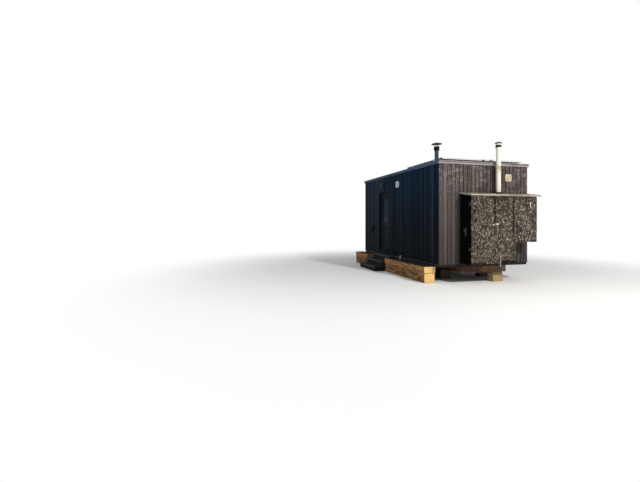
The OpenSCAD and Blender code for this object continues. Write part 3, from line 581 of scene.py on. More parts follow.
# navy_fascia: grey timber coloured navy, painted shade and sky light of the door side
timber("navy_fascia", (0.02, 0.037, 0.074), (0.08, 0.126, 0.19), fibre=0.0035, stain=(0.06, 0.082, 0.125),
    stained=0.4, cracks=0.4, depth=0.0006, shine=0.06)
timber("pale_timber", (0.24, 0.175, 0.1), (0.44, 0.34, 0.21), stain=(0.18, 0.14, 0.1), stained=0.5,
    knots=0.8, depth=0.0005)
# A dark timber for the blocks under the hut: painted shade
timber("grimy_timber", (0.05, 0.038, 0.026), (0.145, 0.11, 0.075), stain=(0.045, 0.038, 0.03), stained=0.6,
    knots=0.6, cracks=0.4, depth=0.001, shine=0.1)
timber("frame_timber", (0.3, 0.22, 0.13), (0.52, 0.41, 0.26), "z", stain=(0.2, 0.17, 0.12), stained=0.4,
    knots=0.7)
# floor_joists: near-black, painted shade of the band under the skirt
timber("floor_joists", (0.016, 0.014, 0.012), (0.05, 0.042, 0.035), "y", stain=(0.02, 0.018, 0.016),
    stained=0.6, shine=0.1)
timber("sleeper_timber", (0.05, 0.023, 0.007), (0.5, 0.27, 0.112), fibre=0.008, stain=(0.03, 0.018, 0.008),
    stained=0.6, knots=0.9, cracks=0.8, figure=1.3, blotches=0.8, depth=0.0016, shine=0.08)
end_grain("sleeper_end", (0.68, 0.42, 0.15), (0.86, 0.57, 0.23), (-1.095, 0.15))
end_grain("block_end", (0.27, 0.185, 0.085), (0.43, 0.305, 0.155), (0.76, 0.09))
strand_board("strand_board", (0.015, 0.01, 0.008), (0.108, 0.086, 0.068), (0.44, 0.38, 0.31),
    seams=((1.222, 0.03, 1.25), (1.752, 0.034, 1.05)))
# The cupboard's left side: black stain, darkened further as painted shade of a side out of the sun
strand_board("blackened_board", (0.001, 0.0012, 0.0016), (0.0022, 0.0026, 0.0034), (0.006, 0.0065, 0.0075),
    0.3, "side", gloss=0.03)
rusted("rusty_steel")
metal("aluminium", (0.42, 0.41, 0.39), (0.35, 0.55), 0.6, grimed=0.45)
# edge_trim and skirt_metal: their door_side colours are painted shade and sky light
metal("edge_trim", (0.24, 0.215, 0.225), (0.45, 0.65), 0.2, (0.13, 0.12, 0.12), 0.4, gloss=0.15,
    door_side=(0.052, 0.08, 0.128))
# panel_side: the panel rail facing the door side, darker and bluer as painted shade and sky reflection
metal("panel_side", (0.052, 0.066, 0.088), (0.45, 0.65), 0.2, (0.03, 0.034, 0.04), 0.4, gloss=0.15)
metal("skirt_metal", (0.035, 0.033, 0.033), (0.45, 0.65), 0.2, (0.05, 0.042, 0.036), 0.5, gloss=0.15,
    door_side=(0.06, 0.085, 0.12))
metal("panel_frame", (0.62, 0.62, 0.61), (0.4, 0.55), 0.0, grimed=0.12)
metal("zinc_steel", (0.3, 0.3, 0.29), (0.4, 0.6), 0.7, (0.12, 0.06, 0.03), 0.6, 0.03)
metal("leaf_iron", (0.05, 0.04, 0.034), (0.5, 0.7), 0.15, (0.13, 0.075, 0.04), 0.5, 0.02,
    level=(1.425, (0.58, 0.52, 0.42)))
# aged_zinc: dull zinc on the door's hinges and handle, darkened further as painted shade of the door side
metal("aged_zinc", (0.07, 0.07, 0.072), (0.5, 0.7), 0.4, (0.05, 0.035, 0.025), 0.6, 0.03)
metal("nail_iron", (0.018, 0.016, 0.015), (0.6, 0.8), 0.1, (0.035, 0.02, 0.012), 0.7, 0.02)
metal("rusty_iron", (0.05, 0.04, 0.034), (0.6, 0.85), 0.15, (0.085, 0.04, 0.02), 0.9, 0.02)
# black_steel: black flue steel coloured slate blue, a painted sky reflection
metal("black_steel", (0.034, 0.064, 0.096), (0.16, 0.28), 0.0, (0.02, 0.034, 0.048), 0.3, 0.07,
    dents=0.0001, gloss=0.08)
metal("cowl_steel", (0.002, 0.0035, 0.005), (0.4, 0.55), 0.0, (0.01, 0.01, 0.01), 0.3, 0.07, dents=0.0001,
    gloss=0.08)
# regulator_metal: blue-grey metal darkened as painted shade of the cupboard's shaded side
metal("regulator_metal", (0.036, 0.043, 0.053), (0.4, 0.6), 0.2, (0.03, 0.028, 0.025), 0.35, 0.05)
# white_plastic: the side vent's white, greyed and blued as painted shade and sky light of the door side
moulded("white_plastic", (0.5, 0.545, 0.575), (0.33, 0.31, 0.22), 0.6)
moulded("drain_plastic", (0.33, 0.3, 0.28), (0.16, 0.135, 0.11))
moulded("stained_pipe", (0.085, 0.075, 0.07), (0.04, 0.035, 0.03), 0.7, at_wall=(0.5, 0.51, 0.49))
# pipe_clip: the at_wall colour darkens its wall plate, a painted shadow of the vent pipe
moulded("pipe_clip", (0.5, 0.46, 0.3), (0.16, 0.15, 0.04), 0.9, at_wall=(0.035, 0.031, 0.029))
moulded("beige_plastic", (0.62, 0.52, 0.4), (0.34, 0.27, 0.19), 0.5)
# grey_plastic and opal_cover: the door lamp, darkened and blued as painted shade and sky light of the door
# side
moulded("grey_plastic", (0.013, 0.021, 0.027), (0.03, 0.028, 0.024), 0.4)
moulded("opal_cover", (0.01, 0.034, 0.056), (0.02, 0.02, 0.018), 0.5, gloss=0.12)
moulded("black_plastic", (0.003, 0.0035, 0.004), (0.016, 0.015, 0.013), 0.4, (0.6, 0.8), gloss=0.08)
moulded("cap_plastic", (0.08, 0.072, 0.062), (0.05, 0.05, 0.035), 0.7)
pipe_plastic()
mossy_roof()
moss()
roof_sheet_finish()
solar_cells()
moulded("back_sheet", (0.74, 0.74, 0.73), grimed=0.15)
clear_glass()
shell_wall()
board_floor("floor_boards", (0.28, 0.18, 0.09), (0.48, 0.34, 0.19), 0.135)
board_floor("ceiling_boards", (0.44, 0.32, 0.19), (0.62, 0.48, 0.31), 0.12)


# Mesh tools


def fresh():
    """An empty mesh to build in, with the two attributes that the timber finishes read."""
    bm = bmesh.new()
    bm.verts.layers.float_vector.new("wood")
    bm.verts.layers.float.new("tone")
    return bm


def mark(bm, verts, axis, tone, shift):
    """Writes grain coordinates, along the given axis first, and a tone on these points."""
    wood = bm.verts.layers.float_vector["wood"]
    own = bm.verts.layers.float["tone"]
    b, c = [k for k in range(3) if k != axis]
    for v in verts:
        v[wood] = (v.co[axis] + shift, v.co[b], v.co[c])
        v[own] = tone


def skin(bm, rings, mat=0, end_mat=None, loop=False, first=1):
    """Faces from each ring of points to the next, closed at both ends or on itself; first is the way that
    the first ring is read."""
    steps = max(len(ring) for ring in rings)
    faces = []
    for one, two in zip(rings, rings[1:] + rings[:1] * loop):
        for i in range(steps):
            corners = [ring[k % len(ring)] for ring, k in ((one, i), (one, i + 1), (two, i + 1), (two, i))]
            corners = list(dict.fromkeys(corners))
            if len(corners) > 2:
                faces.append(bm.faces.new(corners))
    ends = [] if loop else [bm.faces.new(ring) for ring in (rings[0][::first], rings[-1]) if len(ring) > 1]
    for face in faces + ends:
        face.material_index = mat
    for face in ends:
        face.material_index = mat if end_mat is None else end_mat
    bmesh.ops.recalc_face_normals(bm, faces=faces + ends)


def beam(bm, low, high, axis=None, chamfer=0.002, steps=1, uneven=0.0, tone=0.5, mat=0, end_mat=None,
        shift=0.0):
    """A squared timber between two corners: chamfered all round, its faces sinking unevenly by up to
    `uneven`."""
    low, high = Vector(low), Vector(high)
    size = high - low
    axis = max(range(3), key=lambda k: size[k]) if axis is None else axis
    b, c = [k for k in range(3) if k != axis]
    chamfer = min(chamfer, size[b] * 0.3, size[c] * 0.3, size[axis] * 0.3)
    mid = (low + high) / 2
    places = [chamfer + (size[axis] - 2 * chamfer) * i / steps for i in range(steps + 1)]
    rings = []
    for place, inset in [(0.0, chamfer)] + [(place, 0.0) for place in places] + [(size[axis], chamfer)]:
        hb, hc = size[b] / 2 - inset, size[c] / 2 - inset
        cut = chamfer if not inset else chamfer * 0.6
        right = [(hb - cut, -hc), (hb, -hc + cut), (hb, hc - cut), (hb - cut, hc)]
        ring = []
        for u, w in right + [(-u, w) for u, w in right[::-1]]:
            co = Vector((0.0, 0.0, 0.0))
            co[axis], co[b], co[c] = low[axis] + place, mid[b] + u, mid[c] + w
            if uneven:
                broad = noise.noise_vector(co * 7.0 + Vector((shift, tone * 9, 0.0)))
                sink = broad * 0.5 + noise.noise_vector(co * 28.0) * 0.5
                co[b] -= math.copysign(uneven * (0.5 + 0.5 * sink[0]), u)
                co[c] -= math.copysign(uneven * (0.5 + 0.5 * sink[1]), w)
            ring.append(bm.verts.new(co))
        rings.append(ring)
    skin(bm, rings, mat, end_mat, first=-1)
    mark(bm, [v for ring in rings for v in ring], axis, tone, shift)


def turned(bm, centre, profile, axis=2, steps=32, mat=0, loop=False, flip=1):
    """A turned shape: (radius, height) pairs swept round an axis through centre; loop closes the profile
    on itself."""
    b, c = [(1, 2), (2, 0), (0, 1)][axis]
    rings = []
    for radius, height in profile:
        ring = []
        for i in range(1 if radius == 0 else steps):
            angle = 2 * math.pi * i / steps
            co = Vector(centre)
            co[axis] += height * flip
            co[b] += radius * math.cos(angle)
            co[c] += radius * math.sin(angle)
            ring.append(bm.verts.new(co))
        rings.append(ring)
    skin(bm, rings, mat, loop=loop)
    mark(bm, [v for ring in rings for v in ring], axis, 0.5, 0.0)


def ragged_sheet(bm, outline, low, high, rags, seed, mat=0, level_axis=1):
    """A sheet between two levels of one axis, cut from an outline in the other horizontal axis and Z; its
    edges wander inwards by up to rags, one value for all or one for each edge."""
    rags = rags if isinstance(rags, list) else [rags] * len(outline)
    luck = random.Random(seed)
    loop = []
    for (au, az), (bu, bz), rag in zip(outline, outline[1:] + outline[:1], rags):
        reach = math.hypot(bu - au, bz - az)
        count = max(2, int(reach / 0.016))
        inward = Vector((-(bz - az), bu - au)) / reach
        for i in range(count):
            t = i / count
            wave = noise.noise(Vector((t * reach * 30.0, seed, az * 3.0)))
            bite = rag * max(0.0, wave) + luck.uniform(0.0, rag * 0.25) if i else 0.0
            loop.append((au + (bu - au) * t + inward[0] * bite, az + (bz - az) * t + inward[1] * bite))
    sides = []
    for level in (low, high):
        sides.append([bm.verts.new((u, level, z) if level_axis else (level, u, z)) for u, z in loop])
    front, back = sides
    faces = [bm.faces.new(front), bm.faces.new(back[::-1])]
    for i in range(len(loop)):
        j = (i + 1) % len(loop)
        faces.append(bm.faces.new((front[i], back[i], back[j], front[j])))
    for face in faces:
        face.material_index = mat
    bmesh.ops.recalc_face_normals(bm, faces=faces)


def cushion(bm, place, loops, steps=6):
    """Square-plan moulding with round corners on a placed XY plane: (half side, corner radius, height)
    loops joined one after another and closed at both ends."""
    rings = []
    for half, radius, height in loops:
        ring = []
        for quarter in range(4):
            for k in range(steps + 1):
                angle = math.pi / 2 * (quarter + k / steps)
                cx = (half - radius) * (1 if quarter in (0, 3) else -1)
                cy = (half - radius) * (1 if quarter in (0, 1) else -1)
                spot = Vector((cx + radius * math.cos(angle), cy + radius * math.sin(angle), height))
                ring.append(bm.verts.new(place @ spot))
        rings.append(ring)
    skin(bm, rings)


def linked(name, mesh):
    """A new object in the scene."""
    obj = bpy.data.objects.new(name, mesh)
    scene.collection.objects.link(obj)
    return obj


def piece(name, bm, slot, node, *paints, body="hut"):
    """Turns a built mesh into a finished piece that rides a body and may stand for a node."""
    obj = helper(name, bm)
    obj.data.transform(Matrix.Translation(TO_ROW))
    settle(obj, slot, node, *paints, body=body)


def settle(obj, slot, node=None, *paints, body="hut", angle=35):
    """Gives an object its finishes, smooth round faces, its body, and the node that it stands for; its
    slot is not used."""
    for paint in paints:
        obj.data.materials.append(PAINT[paint])
    for face in obj.data.polygons:
        face.use_smooth = True
    obj.data.set_sharp_from_angle(angle=math.radians(angle))
    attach(obj, body)
    if node:
        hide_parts(node)


def helper(name, bm):
    """A built mesh as an object; the small shapes that node trees repeat are taken away once the trees are
    done."""
    bmesh.ops.triangulate(bm, faces=[f for f in bm.faces if len(f.verts) > 4])
    mesh = bpy.data.meshes.new(name)
    bm.to_mesh(mesh)
    bm.free()
    return linked(name, mesh)


# Node trees


class Tree(Graph):
    """A Geometry Nodes tree with named inputs: its sizes, a shape to repeat and a finish."""
    prefix = "GeometryNode"

    def __init__(self, name, **sizes):
        super().__init__(bpy.data.node_groups.new(name, "GeometryNodeTree"))
        new = self.tree.interface.new_socket
        new(name="Geometry", in_out="OUTPUT", socket_type="NodeSocketGeometry")
        for label, kind in (("Geometry", "Geometry"), ("Shape", "Object"), ("Finish", "Material")):
            new(name=label, in_out="INPUT", socket_type="NodeSocket" + kind)
        for label, value in sizes.items():
            kind = "NodeSocketInt" if isinstance(value, int) else "NodeSocketFloat"
            new(name=label, in_out="INPUT", socket_type=kind).default_value = value
        self.size = Made(self, self.tree.nodes.new("NodeGroupInput"))

    def luck(self, low, high, seed):
        return self.add("FunctionNodeRandomValue", {2: low, 3: high, 8: seed}, data_type="FLOAT")[1]

    def line(self, count, start, step):
        return self.add("MeshLine", {"Count": count, "Start Location": start, "Offset": step})[0]

    def repeat(self, points, scale=(1.0, 1.0, 1.0), turn=None, shape=None):
        """A copy of a shape, or of the named one, on each point."""
        shape = shape or self.add("ObjectInfo", {"Object": self.size["Shape"]})["Geometry"]
        inputs = {"Points": points, "Instance": shape, "Scale": scale}
        if turn:
            inputs["Rotation"] = turn
        return self.add("InstanceOnPoints", inputs)[0]

    def spread(self, where=True):
        """Points scattered over the given faces where this holds."""
        s = self.size
        inputs = {"Mesh": s["Geometry"], "Selection": where, "Density": s["Density"], "Seed": s["Seed"]}
        return self.add("DistributePointsOnFaces", inputs)

    def keep(self, shape, name, value, kind="FLOAT", domain="POINT"):
        inputs = {"Geometry": shape, "Name": name, "Value": value}
        return self.add("StoreNamedAttribute", inputs, data_type=kind, domain=domain)[0]

    def toned(self, shape, seed):
        """Gives each copy a tone of its own."""
        return self.keep(shape, "tone", self.luck(0.0, 1.0, seed), domain="INSTANCE")

    def read(self, name, kind="FLOAT"):
        return self.add("InputNamedAttribute", {"Name": name}, data_type=kind)[0]

    def real(self, shape):
        return self.add("RealizeInstances", {0: shape})[0]

    def end(self, shape):
        """Realizes what is left, sets the finish and closes the tree."""
        inputs = {"Geometry": self.real(shape), "Material": self.size["Finish"]}
        painted = self.add("SetMaterial", inputs)[0]
        self.link(painted, self.tree.nodes.new("NodeGroupOutput").inputs[0])
        return self.tree


def grown(name, tree, shape, paint, place=None, bed=None, **sizes):
    """The tree's result at these sizes, as a plain mesh object moved into place."""
    obj = linked(name, bed or bpy.data.meshes.new(name))
    layer = obj.modifiers.new("tree", "NODES")
    layer.node_group = tree
    sizes.update(Shape=shape, Finish=PAINT[paint])
    for item in tree.interface.items_tree:
        if item.in_out == "INPUT" and sizes.get(item.name) is not None:
            layer[item.identifier] = sizes[item.name]
    graph = bpy.context.evaluated_depsgraph_get()
    mesh = bpy.data.meshes.new_from_object(obj.evaluated_get(graph))
    obj.modifiers.remove(layer)
    obj.data = mesh
    mesh.name = name
    mesh.transform(Matrix.Translation(TO_ROW) @ (place or Matrix()))
    return obj


def joined(name, objects):
    """Several mesh objects as one piece."""
    for obj in bpy.context.selected_objects:
        obj.select_set(False)
    for obj in objects:
        obj.select_set(True)
    bpy.context.view_layer.objects.active = objects[0]
    if len(objects) > 1:
        bpy.ops.object.join()
    objects[0].name = name
    objects[0].data.name = name
    return objects[0]


def board_tree():
    """Upright boards side by side along X, facing -Y: each has its own width, depth and tone, and slightly
    wavy edges."""
    t = Tree("upright_boards", Run=1.0, Count=10, Gap=0.011, Bottom=0.0, Top=1.0, Thickness=0.022, Seed=1)
    s = t.size
    seed = s["Seed"]
    pitch = s["Run"] / s["Count"]
    line = t.line(s["Count"], t.join(pitch * 0.5, 0.0, s["Bottom"]), t.join(pitch))
    wide = pitch - s["Gap"] + t.luck(-0.005, 0.004, seed)
    deep = s["Thickness"] - t.luck(0.0, 0.0025, seed + 1.0)
    boards = t.repeat(line, t.join(wide, deep, s["Top"] - s["Bottom"]))
    boards = t.real(t.toned(boards, seed + 2.0))
    x, y, z = t.parts(t.add("InputPosition")[0])
    own = t.read("tone")
    where = t.join(x * 60.0, own * 50.0, z * 3.0)
    wave = t.add("ShaderNodeTexNoise", {"Vector": where, "Scale": 1.0, "Detail": 2.0})[0]
    boards = t.add("SetPosition", {"Geometry": boards, "Offset": t.join((wave - 0.5) * 0.005)})[0]
    grain = t.join(z + own * 37.0, x + own * 11.0, y)
    return t.end(t.keep(boards, "wood", grain, "FLOAT_VECTOR"))


def stud_tree():
    """One small head on each point of the given mesh, turned to face along the point's `facing`, at any
    angle about it."""
    t = Tree("small_heads", Radius=0.004, Seed=1)
    facing = {"Vector": t.read("facing", "FLOAT_VECTOR")}
    aim = t.add("FunctionNodeAlignRotationToVector", facing, axis="Z")[0]
    about = {"Axis": (0.0, 0.0, 1.0), "Angle": t.luck(0.0, 6.28, t.size["Seed"])}
    spin = t.add("FunctionNodeAxisAngleToRotation", about)[0]
    turn = t.add("FunctionNodeRotateRotation", {0: aim, 1: spin}, rotation_space="LOCAL")[0]
    radius = t.size["Radius"]
    return t.end(t.repeat(t.size["Geometry"], t.join(radius, radius, radius), turn))


def flake_tree():
    """Loose strands scattered flat over the given faces, each turned, sized and tilted by chance."""
    t = Tree("lifted_strands", Density=300.0, Length=0.035, Width=0.008, Seed=1)
    s = t.size
    spread = t.spread()
    tilt = t.join(t.luck(-0.02, 0.02, 5), t.luck(-0.035, 0.035, 6), t.luck(0.0, 6.28, 7))
    tilt = t.add("FunctionNodeEulerToRotation", {0: tilt})[0]
    turn = t.add("FunctionNodeRotateRotation", {0: spread["Rotation"], 1: tilt}, rotation_space="LOCAL")[0]
    size = t.join(s["Length"] * t.luck(0.4, 1.3, 8), s["Width"] * t.luck(0.5, 1.4, 9), 1.0)
    return t.end(t.toned(t.repeat(spread["Points"], size, turn), 10))


def clump_tree():
    """Soft clumps scattered over the given faces where a broad noise is high."""
    t = Tree("moss_clumps", Density=900.0, Size=0.012, Cover=0.5, Seed=1)
    where = {"Vector": t.add("InputPosition")[0], "Scale": 7.0, "Detail": 3.0}
    patch = t.add("ShaderNodeTexNoise", where)[0]
    thick = t.add("FunctionNodeCompare", {0: patch, 1: t.size["Cover"]}, operation="GREATER_THAN")[0]
    spread = t.spread(thick)
    size = t.size["Size"] * t.luck(0.35, 1.2, 3)
    clumps = t.repeat(spread["Points"], t.join(size, size, size * 0.6), spread["Rotation"])
    return t.end(t.toned(clumps, 4))


def mesh_band_tree():
    """Wire mesh rolled into a band round Z: upright wires and hoops."""
    t = Tree("wire_band", Radius=0.05, Height=0.06, Uprights=48, Hoops=10, Wire=0.0006)
    s = t.size
    section = t.add("CurvePrimitiveCircle", {"Resolution": 5, "Radius": s["Wire"]})[0]
    rise = t.add("CurvePrimitiveLine", {"Start": (0.0, 0.0, 0.0), "End": t.join(0.0, 0.0, s["Height"])})[0]
    upright = t.add("CurveToMesh", {"Curve": rise, "Profile Curve": section, "Fill Caps": True})[0]
    ring = t.add("MeshCircle", {"Vertices": s["Uprights"], "Radius": s["Radius"]})[0]
    loop = t.add("CurvePrimitiveCircle", {"Resolution": 40, "Radius": s["Radius"] - s["Wire"]})[0]
    hoop = t.add("CurveToMesh", {"Curve": loop, "Profile Curve": section})[0]
    levels = t.line(s["Hoops"], (0.0, 0.0, 0.0), t.join(0.0, 0.0, s["Height"] / s["Hoops"]))
    both = t.add("JoinGeometry")
    for wires in (t.repeat(ring, shape=upright), t.repeat(levels, shape=hoop)):
        t.link(wires, both.node.inputs[0])
    return t.end(both[0])


def cell_tree():
    """Thin plates in rows and columns on XY, with a small gap all round."""
    t = Tree("cell_plates", Columns=6, Rows=18, Width=1.1, Length=1.69, Gap=0.002)
    s = t.size
    across = s["Width"] / s["Columns"]
    along = s["Length"] / s["Rows"]
    inputs = {
        "Size X": s["Width"] - across,
        "Size Y": s["Length"] - along,
        "Vertices X": s["Columns"],
        "Vertices Y": s["Rows"],
    }
    return t.end(t.repeat(t.add("MeshGrid", inputs)[0], t.join(across - s["Gap"], along - s["Gap"], 1.0)))


def blade_tree():
    """Tilted louvre blades one above the other along Y."""
    t = Tree("louvre_blades", Count=6, Pitch=0.02, Width=0.12)
    s = t.size
    start = (s["Count"] - 1.0) * s["Pitch"] * -0.5
    line = t.line(s["Count"], t.join(0.0, start), t.join(0.0, s["Pitch"]))
    return t.end(t.repeat(line, t.join(s["Width"], 1.0, 1.0)))


# Small shapes that the trees repeat


def unit_bar(name, outline, levels, along=2, first=1):
    """A bar with this outline and a ring of points at each level of one axis."""
    bm = bmesh.new()
    rings = [[bm.verts.new((*p[:along], level, *p[along:])) for p in outline] for level in levels]
    skin(bm, rings, first=first)
    return helper(name, bm)


def unit_head(name, profile, steps):
    bm = fresh()
    turned(bm, (0, 0, 0), profile, 2, steps)
    return helper(name, bm)


def unit_clump():
    bm = bmesh.new()
    bmesh.ops.create_icosphere(bm, subdivisions=1, radius=1.0)
    for v in bm.verts:
        v.co *= 1.0 + 0.25 * noise.noise(v.co * 2.0)
    return helper("unit_clump", bm)


BOARD = unit_bar("unit_board", [(-0.5, 0.0), (-0.5, -0.86), (-0.47, -1.0), (0.47, -1.0), (0.5, -0.86),
    (0.5, 0.0)], [k / 16 for k in range(17)])
FLAKE = unit_bar("unit_flake", [(-0.5, -0.35), (-0.1, -0.5), (0.42, -0.4), (0.5, 0.3), (0.05, 0.5),
    (-0.45, 0.38)], (-0.0006, 0.0007), first=-1)
BLADE = unit_bar("unit_blade", [(0.009, 0.001), (0.01, 0.0), (-0.004, 0.011), (-0.009, 0.011),
    (-0.0095, 0.0095), (-0.0045, 0.0093)], (-0.5, 0.5), along=0)
CLUMP = unit_clump()
cell = fresh()
beam(cell, (-0.5, -0.5, 0.0), (0.5, 0.5, 0.0004), axis=0, chamfer=0.0001)
PLATE = helper("unit_plate", cell)
NAIL = unit_head("unit_nail", [(1.0, -0.5), (1.0, 0.12), (0.75, 0.34), (0.3, 0.42), (0.0, 0.43)], 8)
SCREW = unit_head("unit_screw", [(1.0, -0.3), (1.0, 0.15), (0.85, 0.3), (0.4, 0.3), (0.32, 0.12),
    (0.0, 0.12)], 12)
BOLT = unit_head("unit_bolt", [(1.5, -0.3), (1.5, 0.18), (1.0, 0.2), (1.0, 1.0), (0.85, 1.12),
    (0.0, 1.12)], 6)
BOARDS, HEADS, STRANDS, MOSS = board_tree(), stud_tree(), flake_tree(), clump_tree()
BAND, CELLS, LOUVRES = mesh_band_tree(), cell_tree(), blade_tree()


def heads(name, spots, head, radius, paint, body="hut", slot="zinc_steel"):
    """Screw, nail or bolt heads at (place, facing) pairs."""
    mesh = bpy.data.meshes.new(name)
    mesh.from_pydata([spot for spot, facing in spots], [], [])
    layer = mesh.attributes.new("facing", "FLOAT_VECTOR", "POINT")
    for item, (spot, facing) in zip(layer.data, spots):
        item.vector = facing
    settle(grown(name, HEADS, head, paint, bed=mesh, Radius=radius), slot, body=body)


# Cladding

FRONT = Matrix()
BACK_SIDE = Matrix.Translation((BODY_W, BOARD_T, 0)) @ Matrix.Rotation(math.pi / 2, 4, "Z")
FAR_END = Matrix.Translation((BODY_W, BODY_L, 0)) @ Matrix.Rotation(math.pi, 4, "Z")


def door_side(y_start):
    """Boards along the door side start at this distance and run back towards the cupboard end."""
    return Matrix.Translation((0, y_start, 0)) @ Matrix.Rotation(-math.pi / 2, 4, "Z")


def cladding(name, runs, paint, node):
    """Boards for one side. Each run is (place, length, bottom, top, seed)."""
    parts = []
    for place, run, bottom, top, seed in runs:
        flush = place @ Matrix.Translation((0, BOARD_T, 0))
        count = max(1, round(run / BOARD_PITCH))
        parts.append(grown(name, BOARDS, BOARD, paint, flush, Run=run, Count=count, Gap=BOARD_GAP,
            Bottom=bottom, Top=top, Thickness=BOARD_T, Seed=seed))
    settle(joined(name, parts), "dark_boards", node, angle=20)


def nails_for(runs, levels):
    """Two nails across each board at each level."""
    luck = random.Random(4)
    spots = []
    for place, run, bottom, top, _ in runs:
        count = max(1, round(run / BOARD_PITCH))
        pitch = run / count
        facing = (place.to_3x3() @ Vector((0, -1, 0))).normalized()
        for i in range(count):
            for z in levels:
                if not bottom + 0.03 < z < top - 0.02:
                    continue
                for side in (-0.024, 0.024):
                    along = (i + 0.5) * pitch + side + luck.uniform(-0.004, 0.004)
                    up = z + luck.uniform(-0.006, 0.006)
                    spots.append((place @ Vector((along, 0.0012, up)), facing))
    return spots


END_RUNS = [(FRONT, BODY_W, SKIRT_Z, ROOF_Z, 3)]
FAR_RUNS = [(FAR_END, BODY_W, SKIRT_Z, ROOF_Z, 11)]
BACK_RUNS = [(BACK_SIDE, BODY_L - 2 * BOARD_T, SKIRT_Z, ROOF_Z, 21)]
DOOR_RUNS = [
    (door_side(DOOR_Y0), DOOR_Y0 - BOARD_T, SKIRT_Z, ROOF_Z, 31),
    (door_side(BODY_L - BOARD_T), BODY_L - BOARD_T - DOOR_Y1, SKIRT_Z, ROOF_Z, 41),
    (door_side(DOOR_Y1), DOOR_Y1 - DOOR_Y0, HEAD_Z, ROOF_Z, 51),
    (door_side(DOOR_Y1), DOOR_Y1 - DOOR_Y0, SKIRT_Z, SILL_Z, 61),
]
cladding("end_cladding", END_RUNS, "weathered_boards", "front_end_boards")
# The far end and the door side take dark_boards, whose navy is partly painted shade and sky light
cladding("far_end_cladding", FAR_RUNS, "dark_boards", "far_end_boards")
cladding("back_cladding", BACK_RUNS, "weathered_boards", "back_side_boards")
cladding("door_side_cladding", DOOR_RUNS, "dark_boards", "door_side_boards")
LEVELS = (0.52, 1.1, 1.72, 2.34, 2.84)
heads("cladding_nails", nails_for(END_RUNS + FAR_RUNS + BACK_RUNS + DOOR_RUNS, LEVELS), NAIL, 0.0028,
    "nail_iron")


# Roof edge and roof

UP, DOWN, TO_FRONT, TO_FAR_END = (0, 0, 1), (0, 0, -1), (0, -1, 0), (0, 1, 0)
TO_DOOR_SIDE, TO_BACK = (-1, 0, 0), (1, 0, 0)


def build_fascia():
    """Two weathered strips one above the other on the ends, the lower one proud; darker boards along the
    sides, the door side's navy being painted shade and sky light."""
    bm = fresh()
    z0, seam, z1 = FASCIA_Z, FASCIA_Z + 0.039, MEMBRANE_Z
    out, thin = FASCIA_T, 0.017
    runs = [
        ((-out, -out, z0), (BODY_W + out, 0, seam), 0, 0.8),
        ((-out, -thin, seam + 0.001), (BODY_W + out, 0, z1), 1, 0.45),
        ((-out, BODY_L, z0), (BODY_W + out, BODY_L + out, seam), 0, 0.4),
        ((-out, BODY_L, seam + 0.001), (BODY_W + out, BODY_L + thin, z1), 1, 0.5),
        ((-out, 0, z0), (0, 2.388, z1), 2, 0.5),
        ((-out, 2.392, z0), (0, BODY_L, z1), 2, 0.35),
        ((BODY_W, 0, z0), (BODY_W + out, 2.148, z1), 1, 0.6),
        ((BODY_W, 2.152, z0), (BODY_W + out, BODY_L, z1), 1, 0.45),
    ]
    for i, (low, high, mat, tone) in enumerate(runs):
        beam(bm, low, high, chamfer=0.003, steps=40, uneven=0.0015, tone=tone, mat=mat, shift=i * 3.1)
    piece("fascia_boards", bm, "grey_timber", "fascia", "grey_timber", "shaded_timber", "navy_fascia")
    spots = []
    for x in [0.06 + 0.41 * k for k in range(7)]:
        for dz, deep in ((0.018, out - 0.001), (0.057, thin - 0.001)):
            spots += [((x, -deep, z0 + dz), TO_FRONT), ((x, BODY_L + deep, z0 + dz), TO_FAR_END)]
    for y in [0.05 + 0.46 * k for k in range(11)]:
        for z in (z0 + 0.018, z0 + 0.055):
            spots += [((-out + 0.001, y, z), TO_DOOR_SIDE), ((BODY_W + out - 0.001, y, z), TO_BACK)]
    heads("fascia_nails", spots, NAIL, 0.0032, "nail_iron")
    pins, z = [], MEMBRANE_Z + 0.005
    for x in [0.1 + 0.34 * k for k in range(8)]:
        pins += [((x, y, z), UP) for y in (0.012, BODY_L - 0.012)]
    for y in [0.1 + 0.375 * k for k in range(13)]:
        pins += [((x, y, z), UP) for x in (0.012, BODY_W - 0.012)]
    heads("edge_trim_rivets", pins, NAIL, 0.0035, "edge_trim", slot="aluminium_trim")


def stations(length, step, extra):
    """Evenly spaced places along a length, with extra ones put in between."""
    count = round(length / step)
    return sorted({round(length * i / count, 5) for i in range(count + 1)} | {round(e, 5) for e in extra})


